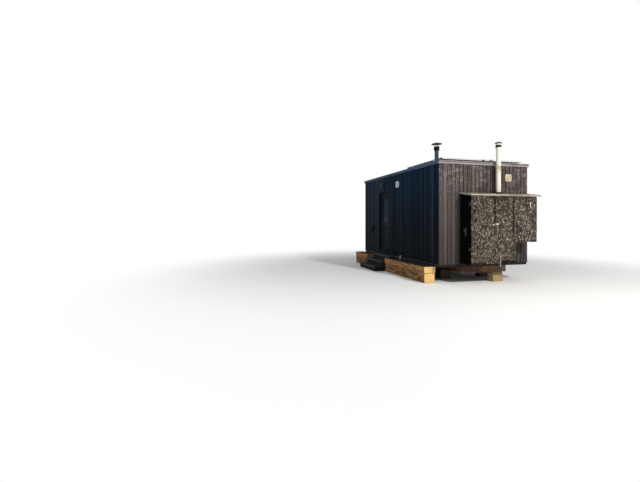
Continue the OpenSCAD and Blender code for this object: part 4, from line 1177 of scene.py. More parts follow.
def build_roof_sheet():
    """Rubber sheet with faint waves, two welded laps that stand a little proud, and the hole for the
    flue."""
    laps, hole = (1.46, 3.1), 0.07
    xs = stations(BODY_W, 0.06, (FLUE[0] - hole, FLUE[0] + hole))
    edges = [lap + d for lap in laps for d in (-0.045, -0.0435, 0.0435, 0.045)]
    ys = stations(BODY_L, 0.06, edges + [FLUE[1] - hole, FLUE[1] + hole])
    bm = bmesh.new()
    upper = []
    for y in ys:
        lap = 0.003 if min(abs(y - lap) for lap in laps) < 0.044 else 0.0
        for x in xs:
            wave = noise.noise(Vector((x * 2.2, y * 1.6, 0.0))) * 0.5 + 0.5
            rim = min(x, BODY_W - x, y, BODY_L - y) < 0.06
            upper.append(bm.verts.new((x, y, MEMBRANE_Z if rim else MEMBRANE_Z - 0.0045 * wave + lap)))
    lower = [bm.verts.new((x, y, ROOF_Z)) for y in ys for x in xs]
    row = len(xs)
    cells = set()
    for j in range(len(ys) - 1):
        for i in range(row - 1):
            off_x = abs((xs[i] + xs[i + 1]) / 2 - FLUE[0])
            off_y = abs((ys[j] + ys[j + 1]) / 2 - FLUE[1])
            if max(off_x, off_y) > hole:
                cells.add((i, j))
    for i, j in sorted(cells, key=lambda cell: cell[::-1]):
        at = j * row + i
        for grid in (upper, lower):
            bm.faces.new((grid[at], grid[at + 1], grid[at + row + 1], grid[at + row]))
        sides = (((i - 1, j), at, at + row), ((i + 1, j), at + 1, at + row + 1))
        ends = (((i, j - 1), at, at + 1), ((i, j + 1), at + row, at + row + 1))
        for neighbour, a, b in sides + ends:
            if neighbour not in cells:
                bm.faces.new((upper[a], upper[b], lower[b], lower[a]))
    bmesh.ops.delete(bm, geom=[v for v in bm.verts if not v.link_faces], context="VERTS")
    bmesh.ops.recalc_face_normals(bm, faces=bm.faces)
    piece("rubber_roof", bm, "roof_sheet", "roof_membrane", "roof_sheet_rubber")


def build_panel(name, x0, node):
    """A solar panel: mitred frame with a lower lip, back sheet, dark cells and glass flush under the
    rim."""
    y0, z0, z1 = PANEL_Y, PANEL_TOP - PANEL_H, PANEL_TOP
    x1, y1 = x0 + PANEL_W, PANEL_Y + PANEL_L
    section = [(0, z0), (0, z1 - 0.0008), (0.0008, z1), (0.011, z1), (0.011, z1 - 0.002),
        (0.002, z1 - 0.008), (0.002, z0 + 0.002), (0.028, z0 + 0.002), (0.028, z0)]
    bm = fresh()
    corners = [Vector((x, y, 0)) for x, y in ((x0, y0), (x1, y0), (x1, y1), (x0, y1))]
    for k, corner in enumerate(corners):
        other = corners[(k + 1) % 4]
        run = (other - corner).normalized()
        inwards = Vector((-run.y, run.x, 0))
        start = [bm.verts.new(corner + Vector((0, 0, z)) + inwards * d + run * d) for d, z in section]
        end = [bm.verts.new(other + Vector((0, 0, z)) + inwards * d - run * d) for d, z in section]
        rail = [bm.faces.new((start[i], start[i - 1], end[i - 1], end[i])) for i in range(len(section))]
        rail += [bm.faces.new(start), bm.faces.new(end)]
        # The rail facing the door side takes panel_side, painted shade
        for face in rail:
            face.material_index = 3 if k == 3 else 0
    bmesh.ops.recalc_face_normals(bm, faces=bm.faces)
    x, rim = (x0 + x1) / 2, 0.003
    beam(bm, (x0 + rim, y0 + rim, z1 - 0.007), (x1 - rim, y1 - rim, z1 - 0.0025), mat=1, chamfer=0.0005)
    beam(bm, (x - 0.06, y0 + 0.8, z0 + 0.006), (x + 0.06, y0 + 0.88, z1 - 0.007), mat=2, chamfer=0.004)
    piece(name, bm, "panel_frame", node, "panel_frame", "back_sheet", "black_plastic", "panel_side")
    place = Matrix.Translation((x, (y0 + y1) / 2, z1 - 0.0025))
    cells = grown(name + "_cells", CELLS, PLATE, "solar_cells", place, Columns=6, Rows=18,
        Width=PANEL_W - 0.04, Length=PANEL_L - 0.04, Gap=0.0025)
    settle(cells, "panel_frame")


def build_panel_clamps():
    """Clamps that hold the panels down on their rails, with a bolt in each."""
    bm = fresh()
    bolts = []
    x0, x1 = PANEL_XS
    low, top, grip = PANEL_TOP - 0.0005, PANEL_TOP + 0.003, 0.008
    for y in (0.43, 1.452):
        for a, b in ((x0 - 0.03, x0 + grip), (x0 + PANEL_W - grip, x1 + grip),
                (x1 + PANEL_W - grip, x1 + PANEL_W + 0.03)):
            beam(bm, (a, y - 0.02, low), (b, y + 0.02, top), axis=0, chamfer=0.0008)
            mid = (a + b) / 2
            beam(bm, (mid - 0.012, y - 0.019, PANEL_TOP - PANEL_H), (mid + 0.012, y + 0.019, PANEL_TOP),
                axis=2, chamfer=0.001)
            bolts.append(((mid, y, top), UP))
    piece("panel_clamps", bm, "aluminium_trim", None, "aluminium")
    heads("panel_bolts", bolts, BOLT, 0.005, "zinc_steel")


build_fascia()
build_roof_sheet()
for side, x0 in zip(("left", "right"), PANEL_XS):
    build_panel("panel_" + side, x0, "solar_panel_" + side)
build_panel_clamps()


# Sleepers, blocks and steps


def build_sleepers(name, node, y0, y1, seed, end):
    """Two stacked sleepers: rough faces, worn arrises, black tops for dirt and painted shade under the hut,
    and sawn ends that are pale (1) or as dark as the sides (0), the dark ones painted shade."""
    bm = fresh()
    beam(bm, (-0.268, y0 + 0.004, 0.0), (0.02, y1 - 0.006, 0.243), axis=1, chamfer=0.004, steps=60,
        uneven=0.004, tone=0.4, end_mat=end, shift=seed)
    beam(bm, (-0.28, y0, 0.2435), (0.035, y1, 0.4), axis=1, chamfer=0.004, steps=60, uneven=0.003,
        tone=0.7, end_mat=end, shift=seed + 5.0)
    # Top faces in black timber: dirt and painted shade under the hut
    for face in bm.faces:
        if face.normal.z > 0.8:
            face.material_index = 2
    piece(name, bm, "sleeper_timber", node, "sleeper_timber", "sleeper_end", "black_timber")


def build_blocks():
    """Short timbers under the chassis, each with a thin packer on top; the first shows, the others are
    dark, painted shade under the hut."""
    bm = fresh()
    stacks = [(BODY_W / 2 + 0.385, 0.1, 0.2)]
    for y in (0.85, BODY_L / 2, BODY_L - 0.85):
        stacks += [(BODY_W / 2 + side * RAIL_X, y, 0.22) for side in (-1, 1)]
    for i, (x, y, deep) in enumerate(stacks):
        # The hidden blocks take the dark finish, painted shade
        mat, end_mat = (2, 2) if i else (0, 1)
        a, b, seam = 0.15, deep / 2, 0.205
        beam(bm, (x - a, y - b, 0), (x + a, y + b, seam), axis=1, chamfer=0.004, steps=5, uneven=0.002,
            mat=mat, end_mat=end_mat, shift=i * 2.3)
        a, b = a - 0.015, b - 0.012
        beam(bm, (x - a, y - b, seam), (x + a, y + b, 0.24), axis=0, chamfer=0.003, steps=5, uneven=0.001,
            tone=0.25, mat=mat, shift=i * 1.7)
    piece("support_timbers", bm, "pale_timber", "support_blocks", "pale_timber", "block_end",
        "grimy_timber")


def build_steps():
    """Three stained steps: two boards to a tread with a front face painted lighter as sky light, a riser
    under each, cheeks at the ends."""
    bm = fresh()
    y0, y1 = 2.455, 3.735
    outs = (0.6, 0.345, 0.11)
    screws = []
    for i, out in enumerate(outs):
        back = BOARD_T if i == 2 else -outs[i + 1] + 0.044
        top = (i + 1) * 0.15 - 0.01
        seam = (-out + back) / 2 if i < 2 else None
        strips = [(-out, seam - 0.0025), (seam + 0.0025, back)] if seam else [(-out, back)]
        for j, (a, b) in enumerate(strips):
            beam(bm, (a, y0, top - 0.038), (b, y1, top), axis=1, chamfer=0.004, steps=20, uneven=0.0012,
                tone=0.3 + 0.25 * j, shift=i * 2 + j)
            for y in (y0 + 0.03, (y0 + y1) / 2, y1 - 0.03):
                screws += [((a + 0.02 + k * (b - a - 0.04), y, top - 0.0012), UP) for k in (0, 1)]
        low = 0.0 if i == 0 else i * 0.15 - 0.01
        beam(bm, (-out + 0.022, y0 + 0.04, low), (-out + 0.044, y1 - 0.04, top - 0.038), axis=1,
            chamfer=0.002, steps=12, uneven=0.001, tone=0.2, shift=i + 9)
        for y in (y0 + 0.008, y1 - 0.048):
            beam(bm, (-out + 0.04, y, 0.0), (-0.003, y + 0.04, top - 0.037), axis=0, chamfer=0.002,
                steps=4, uneven=0.0008, tone=0.35, shift=i + 13)
    # Front faces of the treads take the lighter finish, painted sky light
    for face in bm.faces:
        if face.normal.x < -0.5 and min(abs(face.calc_center_median().x + out) for out in outs) < 0.006:
            face.material_index = 1
    piece("stained_steps", bm, "black_timber", "door_steps", "black_timber", "worn_nosing")
    heads("step_screws", screws, SCREW, 0.0045, "zinc_steel")


def build_chassis_details():
    """Weld beads round the front plate and where the channels meet, and bolts through the plate."""
    x0, x1, z0, z1 = BODY_W / 2 - 0.14, BODY_W / 2 + 0.56, 0.242, 0.398
    rows = []
    for k in range(26):
        z = z0 + 0.003 + k * 0.006
        rows += [(x0 - 0.002, 0.028, z), (x1 + 0.002, 0.028, z)]
        rows += [(BODY_W / 2 + side * 0.64 - side * 0.006, 0.0298, z) for side in (-1, 1)]
    luck = random.Random(8)
    beads = []
    for x, y, z in rows:
        beads.append(((x + luck.uniform(-0.0015, 0.0015), y, z + luck.uniform(-0.001, 0.001)), TO_FRONT))
    heads("chassis_welds", beads, NAIL, 0.0062, "rusty_steel", slot="rusty_steel")
    bolts = [((x, 0.0195, z), TO_FRONT) for x in (x0 + 0.05, x1 - 0.05) for z in (z0 + 0.035, z1 - 0.035)]
    for y in (0.6, 1.6, 3.1, 4.1):
        bolts += [((BODY_W / 2 + side * RAIL_X, y, 0.2395), DOWN) for side in (-1, 1)]
    heads("chassis_bolts", bolts, BOLT, 0.009, "rusty_iron", slot="rusty_steel")


build_sleepers("near_sleepers", "sleepers_near", 0.21, 2.43, 0.0, 1)
# The far sleepers' ends are as dark as their sides, painted shade
build_sleepers("far_sleepers", "sleepers_far", 3.77, 4.9, 17.0, 0)
build_blocks()
build_chassis_details()
build_steps()


# Cupboard on the end


def rect(x0, z0, x1, z1):
    return [(x0, z0), (x1, z0), (x1, z1), (x0, z1)]


def bed_of(name, corners):
    """A mesh of four-sided faces, each given by its corners, that a tree can scatter over."""
    mesh = bpy.data.meshes.new(name)
    faces = [range(k, k + 4) for k in range(0, 4 * len(corners), 4)]
    mesh.from_pydata([spot for four in corners for spot in four], [], faces)
    return mesh


def strands_on(name, sheets, body, seed):
    """Lifted strands on the face of a sheet, over rectangles given in X and Z."""
    rim, y = 0.012, CUP_FRONT + 0.0004
    corners = []
    for x0, z0, x1, z1 in sheets:
        corners.append([(x, y, z) for x, z in rect(x0 + rim, z0 + rim, x1 - rim, z1 - rim)])
    bed = bed_of(name, corners)
    flakes = grown(name, STRANDS, FLAKE, "strand_flakes", bed=bed, Density=260.0, Length=0.036,
        Width=0.0105, Seed=seed)
    settle(flakes, "stained_sheet", body=body)


def loose_flakes():
    """Single strands: each flake has its own tone, from brown to bleached."""
    f = Finish("strand_flakes", 0.15)
    tone = f.attribute("tone")
    fibres = f.noise((0.012, 0.012, 0.0022), 4.0, 0.6)
    colour = f.ramp(tone, (0.0, (0.01, 0.007, 0.005)), (0.5, (0.05, 0.038, 0.03)),
        (0.8, (0.14, 0.117, 0.093)), (1.0, (0.45, 0.395, 0.33)))
    colour = f.lay(colour, (0.05, 0.038, 0.03), fibres, 0.4, 0.7, 0.0, 0.4)
    f.relief(fibres, 0.0003)
    f.done(colour, fibres, 0.75, 0.92)


loose_flakes()
strand_board("side_board", (0.026, 0.019, 0.014), (0.125, 0.1, 0.08), (0.34, 0.295, 0.235), lie="side")
# A near-black backing board, set behind ragged edges and rotted holes: painted shade of the dark inside
strand_board("rotten_board", (0.005, 0.004, 0.003), (0.02, 0.015, 0.011), (0.06, 0.045, 0.032), 0.9)
timber("roof_lath", (0.15, 0.126, 0.104), (0.41, 0.37, 0.32), fibre=0.0035, stain=(0.1, 0.085, 0.06),
    stained=0.55, cracks=0.5, depth=0.0009, shine=0.1)
CUP_X0, CUP_X1, TALL_X1, RAISED_Z, CUP_Z, KICK_Z = 0.575, 2.44, 1.833, 1.004, 0.485, 0.655
LEAF_Z0, LEAF_Z1 = 0.661, 2.098
SHEET_T, FRAME_Y = 0.018, -0.396
LEFT_SEAM, RIGHT_SEAM = 1.222, 1.744


def cup_under(y):
    """Underside of the cupboard roof."""
    return 2.175 + CUP_SLOPE * y


def build_cupboard_leaves():
    """Two strand-board leaves; the left one has swollen and lost strands along the lower half of its hung
    edge."""
    back = CUP_FRONT + SHEET_T
    x0, x1, mid = CUP_X0 + 0.002, LEFT_SEAM - 0.0035, 1.34
    bm = fresh()
    ragged_sheet(bm, [(x0, LEAF_Z0), (x1, LEAF_Z0), (x1, LEAF_Z1), (x0, LEAF_Z1), (x0, mid)], CUP_FRONT,
        back, [0.006, 0.003, 0.003, 0.004, 0.016], 1)
    piece("left_leaf", bm, "stained_sheet", "cupboard_left_door", "strand_board", body="cupboard_left_leaf")
    bm = fresh()
    ragged_sheet(bm, rect(LEFT_SEAM + 0.0035, LEAF_Z0, RIGHT_SEAM - 0.003, LEAF_Z1), CUP_FRONT, back,
        0.0035, 2)
    piece("middle_leaf", bm, "stained_sheet", "cupboard_middle_door", "strand_board",
        body="cupboard_middle_leaf")
    strands_on("left_leaf_strands", [(x0 + 0.012, LEAF_Z0, x1 - 0.012, LEAF_Z1)], "cupboard_left_leaf", 2)
    strands_on("middle_leaf_strands", [(LEFT_SEAM + 0.016, LEAF_Z0, RIGHT_SEAM - 0.01, LEAF_Z1)],
        "cupboard_middle_leaf", 3)


def build_fixed_sheets():
    """The raised sheet with its rotted lower corner, the strip beside the leaves, and the kick board with
    its broken foot."""
    back = CUP_FRONT + SHEET_T
    x0 = RIGHT_SEAM + 0.003
    bm = fresh()
    outline = [(x0, 0.56), (TALL_X1, 0.572), (TALL_X1, RAISED_Z), (2.2, RAISED_Z + 0.004),
        (2.3, RAISED_Z + 0.04), (2.395, RAISED_Z + 0.034), (2.425, RAISED_Z + 0.085),
        (CUP_X1, RAISED_Z + 0.26), (CUP_X1, LEAF_Z1), (x0, LEAF_Z1)]
    rags = [0.008, 0.004, 0.005, 0.02, 0.022, 0.02, 0.02, 0.004, 0.003, 0.003]
    ragged_sheet(bm, outline, CUP_FRONT, back, rags, 5)
    # Set-back strips in the backing board show through the ragged edges as painted shade
    ragged_sheet(bm, [(x0, 0.487), (TALL_X1, 0.487), (TALL_X1, 0.59), (x0, 0.59)], CUP_FRONT + 0.004, back,
        0.003, 15, mat=1)
    ragged_sheet(bm, rect(2.14, RAISED_Z, CUP_X1, RAISED_Z + 0.3), CUP_FRONT + 0.007, back, 0.004, 16,
        mat=1)
    beam(bm, (2.23, CUP_FRONT - 0.008, 1.858), (2.25, CUP_FRONT, 1.968), axis=2, chamfer=0.0015, mat=2)
    # Posts in black timber behind the sheet edges, painted shade seen through the rotted holes and ragged
    # edges
    beam(bm, (TALL_X1 - SHEET_T - 0.06, back, 0.508), (TALL_X1, FRAME_Y, 2.088), axis=2, chamfer=0.0008,
        mat=3, steps=6)
    beam(bm, (CUP_X1 - 0.06, back, 1.027), (CUP_X1, FRAME_Y, 2.088), axis=2, chamfer=0.0008, mat=3, steps=6)
    piece("right_sheet", bm, "stained_sheet", "cupboard_right_panel", "strand_board", "rotten_board",
        "beige_plastic", "black_timber")
    bm = fresh()
    foot = [(CUP_X0, 0.535), (0.9, 0.532), (0.985, 0.506), (1.12, 0.5), (1.33, 0.512), (1.4, 0.566),
        (1.62, 0.578), (x0 - 0.001, 0.56)]
    ragged_sheet(bm, foot + [(x0 - 0.001, KICK_Z), (CUP_X0, KICK_Z)], CUP_FRONT, back,
        [0.008] * 7 + [0.003] * 3, 7)
    # A set-back strip behind the kick board's broken foot: painted shade
    ragged_sheet(bm, rect(CUP_X0, 0.487, x0 - 0.001, 0.6), CUP_FRONT + 0.005, back, 0.003, 17, mat=1)
    # A black timber behind the kick board, painted shade
    beam(bm, (CUP_X0, back, CUP_Z), (x0, FRAME_Y, KICK_Z - 0.012), axis=0, chamfer=0.0008, mat=2, steps=8)
    piece("kick_sheet", bm, "stained_sheet", "cupboard_kick_board", "strand_board", "rotten_board",
        "black_timber")
    strands_on("fixed_strands", [(x0 + 0.02, 1.3, CUP_X1, LEAF_Z1), (x0 + 0.02, 1.06, 2.18, 1.3),
        (x0, 0.6, TALL_X1, 1.06), (CUP_X0, 0.6, x0, KICK_Z)], "hut", 4)


def build_cupboard_sides():
    """The left side, stained black and darkened as painted shade, and the two right sides in bare strand
    board.
    """
    bm = fresh()
    for low, foot, mat, seed in ((CUP_X0, CUP_Z, 0, 21), (TALL_X1 - SHEET_T, CUP_Z, 1, 22),
            (CUP_X1 - SHEET_T, RAISED_Z, 1, 23)):
        outline = [(FRAME_Y, foot), (0.0, foot), (0.0, cup_under(0)), (FRAME_Y, cup_under(FRAME_Y))]
        ragged_sheet(bm, outline, low, low + SHEET_T, [0.005, 0.0, 0.0, 0.004], seed, mat, level_axis=0)
    piece("cupboard_side_boards", bm, "stained_sheet", "cupboard_sides", "blackened_board", "side_board")


def build_cupboard_roof():
    """Sloping roof board with a thin lath along its front edge, the seal round the vent pipe, and moss."""
    bm = fresh()
    x0, x1 = CUP_X0 - 0.025, CUP_X1 + 0.1
    beam(bm, (x0, -0.438, 2.175), (x1, 0.0, 2.215), axis=0, chamfer=0.0025, steps=60, uneven=0.0012,
        tone=0.4)
    beam(bm, (x0, -0.45, 2.1765), (x1, -0.4385, 2.2145), axis=0, chamfer=0.003, steps=70, uneven=0.0015,
        tone=0.9, mat=1, shift=4.0)
    for v in bm.verts:
        v.co.z += CUP_SLOPE * v.co.y
    piece("cupboard_roof_board", bm, "mossy_timber", "cupboard_roof", "mossy_roof", "roof_lath")
    bm = fresh()
    turned(bm, (*PIPE, 2.176), [(0.0552, 0.0), (0.088, 0.0), (0.086, 0.022), (0.066, 0.03), (0.06, 0.044),
        (0.0552, 0.046)], steps=36, loop=True)
    piece("vent_pipe_seal", bm, "white_plastic", None, "black_plastic")
    corners = []
    for a, b, y0, y1 in ((x0, x1, -0.43, 0.0), (x0 + 0.02, x1 - 0.02, -0.447, -0.43)):
        corners.append([(x, y, 2.2135 + CUP_SLOPE * y) for x, y in rect(a, y0, b, y1)])
    settle(grown("roof_moss", MOSS, CLUMP, "moss", bed=bed_of("moss_bed", corners), Density=2600.0,
        Size=0.009, Cover=0.47, Seed=5), "mossy_timber")


def build_cupboard_screws():
    """Screws in the hinge flaps, the catch, the knob plate and round the fixed sheets."""
    flap, plate, sheet = CUP_FRONT - 0.0026, CUP_FRONT - 0.0036, CUP_FRONT + 0.0006
    left, middle, fixed = [], [], []
    for z in [z0 + dz for z0 in (LEAF_Z0 + 0.15, LEAF_Z1 - 0.23) for dz in (0.015, 0.065)]:
        for spots, xs in ((left, (0.598, 0.62)), (middle, (1.706, 1.728)), (fixed, (1.762, 1.78))):
            spots += [(x, flap, z) for x in xs]
    left += [(x, flap, z) for x in (1.17, 1.2) for z in (1.41, 1.44)]
    middle += [(x, plate, 1.44) for x in (1.25, 1.275, 1.322)]
    fixed += [(1.8, sheet, 0.7 + 0.27 * k) for k in range(6)]
    fixed += [(2.412, sheet, 1.36 + 0.24 * k) for k in range(4)]
    fixed += [(0.65 + 0.27 * k, sheet, 0.632) for k in range(5)]
    for side, spots in (("left", left), ("middle", middle), ("fixed", fixed)):
        body = "hut" if side == "fixed" else "cupboard_" + side + "_leaf"
        heads("cupboard_screws_" + side, [(spot, TO_FRONT) for spot in spots], SCREW, 0.0042, "rusty_iron",
            body)


build_cupboard_leaves()
build_fixed_sheets()
build_cupboard_sides()
build_cupboard_roof()
build_cupboard_screws()


# Vents, pipe cowl and flue

VENT_Z = 2.604
ON_END = Matrix.Rotation(math.pi / 2, 4, "X")
ON_SIDE = Matrix.Rotation(-math.pi / 2, 4, "Z") @ ON_END


def build_vent_cover(name, node, place, paint, bar=False):
    """Square cover with round corners: a stepped rim, a sunk back and tilted blades, with a bar across if
    asked."""
    rim = [(0.0925, 0.032, 0.0), (0.0925, 0.032, 0.009), (0.0905, 0.031, 0.0117), (0.0835, 0.027, 0.0122),
        (0.0805, 0.026, 0.0178), (0.078, 0.024, 0.02), (0.0685, 0.017, 0.02), (0.067, 0.016, 0.0183),
        (0.067, 0.016, 0.004)]
    bm = fresh()
    cushion(bm, place, rim)
    if bar:
        ends = [place @ Vector(end) for end in ((-0.067, -0.006, 0.004), (0.067, 0.006, 0.0195))]
        pairs = list(zip(*ends))
        beam(bm, [min(pair) for pair in pairs], [max(pair) for pair in pairs], axis=1, chamfer=0.001)
    piece(name, bm, paint, node, paint)
    blades = grown(name + "_blades", LOUVRES, BLADE, paint, place @ Matrix.Translation((0, 0, 0.0055)),
        Count=6, Pitch=0.0205, Width=0.133)
    settle(blades, paint)


def build_vent_cowl():
    """Rim on the pipe's socket, a dark core behind wire mesh, a white hub, and a thin dark cap with a low
    cone."""
    foot = (*PIPE, 3.319)
    bm = fresh()
    turned(bm, foot, [(0.0512, 0.0), (0.066, 0.0), (0.068, 0.001), (0.068, 0.005), (0.066, 0.006),
        (0.0512, 0.006)], steps=40, loop=True)
    turned(bm, foot, [(0.049, 0.004), (0.049, 0.064), (0.0, 0.0645)], mat=1)
    turned(bm, foot, [(0.067, 0.0615), (0.068, 0.0625), (0.068, 0.066), (0.0575, 0.0675), (0.0565, 0.071),
        (0.0565, 0.1), (0.058, 0.1065), (0.0, 0.1066)], steps=40)
    turned(bm, foot, [(0.058, 0.1068), (0.079, 0.1062), (0.0815, 0.1045), (0.0825, 0.106), (0.0825, 0.116),
        (0.0805, 0.1186), (0.0, 0.1187)], steps=40, mat=1)
    turned(bm, foot, [(0.0795, 0.1183), (0.076, 0.1215), (0.042, 0.137), (0.018, 0.1485), (0.013, 0.1497),
        (0.0, 0.15)], steps=40, mat=2)
    piece("vent_cowl", bm, "white_plastic", "vent_pipe_cowl", "pipe_plastic", "black_plastic",
        "cap_plastic")
    place = Matrix.Translation((*PIPE, foot[2] + 0.005))
    settle(grown("vent_mesh", BAND, None, "cowl_steel", place, Radius=0.0665, Height=0.057, Uprights=64,
        Hoops=13, Wire=0.0011), "white_plastic")


def build_flue_details():
    """Clamp band with its bolt on the flue's collar, a bead round the cap, and the sealed flange with its
    screws."""
    x, y = FLUE
    bm = fresh()
    turned(bm, (x, y, 3.69), [(0.0822, 0.0), (0.0845, 0.0015), (0.0848, 0.01), (0.0845, 0.0185),
        (0.0822, 0.02)], steps=44, loop=True)
    for z in (3.668, 3.7815):
        turned(bm, (x, y, z), [(0.0822, 0.0), (0.0842, 0.0005), (0.0842, 0.0025), (0.0822, 0.003)],
            steps=44, loop=True)
    for out in (-0.011, 0.003):
        low = (x + out, y - 0.0915, 3.692)
        beam(bm, low, (x + out + 0.008, y - 0.0825, 3.708), axis=2, chamfer=0.001)
    beam(bm, (x - 0.016, y - 0.0895, 3.6975), (x + 0.016, y - 0.085, 3.7025), axis=0, chamfer=0.001)
    turned(bm, (x, y, MEMBRANE_Z + 0.078), [(0.0602, 0.0), (0.07, 0.001), (0.0715, 0.004), (0.07, 0.015),
        (0.064, 0.02), (0.0602, 0.0205)], steps=44, loop=True)
    piece("flue_clamps", bm, "black_steel", None, "cowl_steel")
    steps = (-0.135, -0.045, 0.045, 0.135)
    rim = [(dx, dy) for dx in steps for dy in steps if max(abs(dx), abs(dy)) > 0.1]
    spots = [((x + dx, y + dy, MEMBRANE_Z + 0.0028), UP) for dx, dy in rim]
    heads("flashing_screws", spots, SCREW, 0.0055, "zinc_steel")


build_vent_cover("end_vent_cover", "end_vent", Matrix.Translation((1.98, 0.0, VENT_Z)) @ ON_END,
    "beige_plastic")
build_vent_cover("side_vent_cover", "side_vent", Matrix.Translation((0.0, 2.146, VENT_Z)) @ ON_SIDE,
    "white_plastic", bar=True)
build_vent_cowl()
build_flue_details()


# Entrance

LEAF = (0.082, 0.122, 2.757, 3.484, 0.566, 2.439)


def build_door_leaf():
    """Framed leaf: stiles and rails with fine joints, beads round the pane, V-jointed boards in the lower
    panel."""
    x0, x1, y0, y1, z0, z1 = LEAF
    near, far = y0 + 0.085, y1 - 0.085
    pane, panel = (1.46, 2.259), (0.746, 1.34)
    fine = {"chamfer": 0.0015, "uneven": 0.0004}
    bm = fresh()
    for a, b, tone in ((y0, near, 0.4), (far, y1, 0.55)):
        beam(bm, (x0, a, z0), (x1, b, z1), axis=2, steps=24, tone=tone, shift=a * 3, **fine)
    for a, b, tone in ((z0, panel[0], 0.35), (panel[1], pane[0], 0.6), (pane[1], z1, 0.45)):
        beam(bm, (x0 + 0.0005, near, a), (x1 - 0.0005, far, b), axis=1, steps=10, tone=tone, shift=a * 5,
            **fine)
    pitch = (far - near) / 6
    for i in range(6):
        low = (x0 + 0.0115, near + i * pitch, panel[0] - 0.002)
        high = (x1 - 0.0115, near + (i + 1) * pitch, panel[1] + 0.002)
        beam(bm, low, high, axis=2, chamfer=0.004, steps=8, uneven=0.0004, tone=0.2 + 0.12 * (i * 5 % 6),
            shift=i * 1.3)
    for face, back in ((x0 + 0.003, x0 + 0.0127), (x1 - 0.0127, x1 - 0.003)):
        for (low, high), wide, less in ((pane, 0.011, 0.0), (panel, 0.01, 0.001)):
            for a, b in ((near, near + wide), (far - wide, far)):
                beam(bm, (face, a, low), (back - less, b, high), axis=2, chamfer=0.003, steps=4)
            for a, b in ((low, low + wide), (high - wide, high)):
                beam(bm, (face, near + wide, a), (back - less, far - wide, b), axis=1, chamfer=0.003,
                    steps=4)
    piece("entrance_leaf", bm, "dark_boards", "door_leaf", "dark_joinery", body="door")


def build_door_frame():
    """Jambs, head, threshold and its nosing, and the stop bead."""
    bm = fresh()
    x0, x1, foot, floor, top = 0.022, 0.122, 0.545, 0.56, HEAD_Z + 0.03
    fine = {"chamfer": 0.0015, "uneven": 0.0004}
    for y, tone, shift in ((DOOR_Y0 - 0.03, 0.4, 0.0), (DOOR_Y1, 0.5, 2.0)):
        beam(bm, (x0, y, foot), (x1, y + 0.03, top), axis=2, steps=20, tone=tone, shift=shift, **fine)
    for a, b, tone in ((HEAD_Z, top, 0.3), (foot, floor, 0.6)):
        beam(bm, (x0, DOOR_Y0, a), (x1, DOOR_Y1, b), axis=1, steps=10, tone=tone, **fine)
    beam(bm, (-0.035, DOOR_Y0, SILL_Z), (x0, DOOR_Y1, floor), axis=1, chamfer=0.004, steps=10,
        uneven=0.0006, tone=0.7)
    x0, x1, wide = 0.058, 0.076, 0.013
    for y in (DOOR_Y0, DOOR_Y1 - wide):
        beam(bm, (x0, y, floor), (x1, y + wide, HEAD_Z), axis=2, steps=10, tone=0.45)
    beam(bm, (x0, DOOR_Y0 + wide, HEAD_Z - wide), (x1, DOOR_Y1 - wide, HEAD_Z), axis=1, steps=10, tone=0.45)
    piece("entrance_frame", bm, "dark_boards", "door_frame", "dark_joinery")


def build_entrance_lamp():
    """Round lamp: a dark grey base with a rolled rim, and an opal cover, both dark and bluish as painted
    shade and sky light.
    """
    bm = fresh()
    centre = (0.0, 3.15, 2.675)
    turned(bm, centre, [(0.0625, 0.0), (0.065, 0.002), (0.065, 0.016), (0.0635, 0.0205), (0.06, 0.022),
        (0.056, 0.022), (0.0545, 0.0205), (0.0, 0.0204)], axis=0, steps=48, flip=-1)
    turned(bm, centre, [(0.0535, 0.0204), (0.054, 0.03), (0.0538, 0.048), (0.0515, 0.0545),
        (0.046, 0.0565), (0.0405, 0.0575), (0.0385, 0.063), (0.034, 0.0675), (0.022, 0.0695),
        (0.0, 0.0699)], axis=0, steps=48, mat=1, flip=-1)
    screw = [(0.0028, 0.0205), (0.0028, 0.0228), (0.0015, 0.0236), (0.0, 0.0237)]
    for k in range(3):
        angle = math.pi / 2 + k * 2 * math.pi / 3
        spot = (0.0, centre[1] + 0.0595 * math.cos(angle), centre[2] + 0.0595 * math.sin(angle))
        turned(bm, spot, screw, axis=0, steps=10, flip=-1)
    piece("entrance_lamp", bm, "white_plastic", "door_lamp", "grey_plastic", "opal_cover")


def build_outside_box():
    """Socket box beside the door: a moulded case, a hinged lid over its upper part, and corner screws."""
    bm = fresh()
    beam(bm, (-0.042, 3.895, 1.157), (0.0, 4.005, 1.357), axis=2, chamfer=0.005, steps=2)
    beam(bm, (-0.058, 3.905, 1.175), (-0.0425, 3.995, 1.3), axis=2, chamfer=0.005, steps=2)
    beam(bm, (-0.053, 3.915, 1.3), (-0.0425, 3.985, 1.312), axis=1, chamfer=0.003)
    beam(bm, (-0.0579, 3.938, 1.168), (-0.05, 3.962, 1.18), axis=1, chamfer=0.002)
    for y in (3.907, 3.993):
        for z in (1.166, 1.346):
            turned(bm, (-0.0415, y, z), [(0.0035, 0.0), (0.0035, 0.0012), (0.002, 0.0018), (0.0, 0.0018)],
                axis=0, steps=10, flip=-1)
    piece("outside_box", bm, "black_plastic", "wall_box", "black_plastic")


build_door_leaf()
build_door_frame()
build_entrance_lamp()
build_outside_box()


# Carried-over nodes

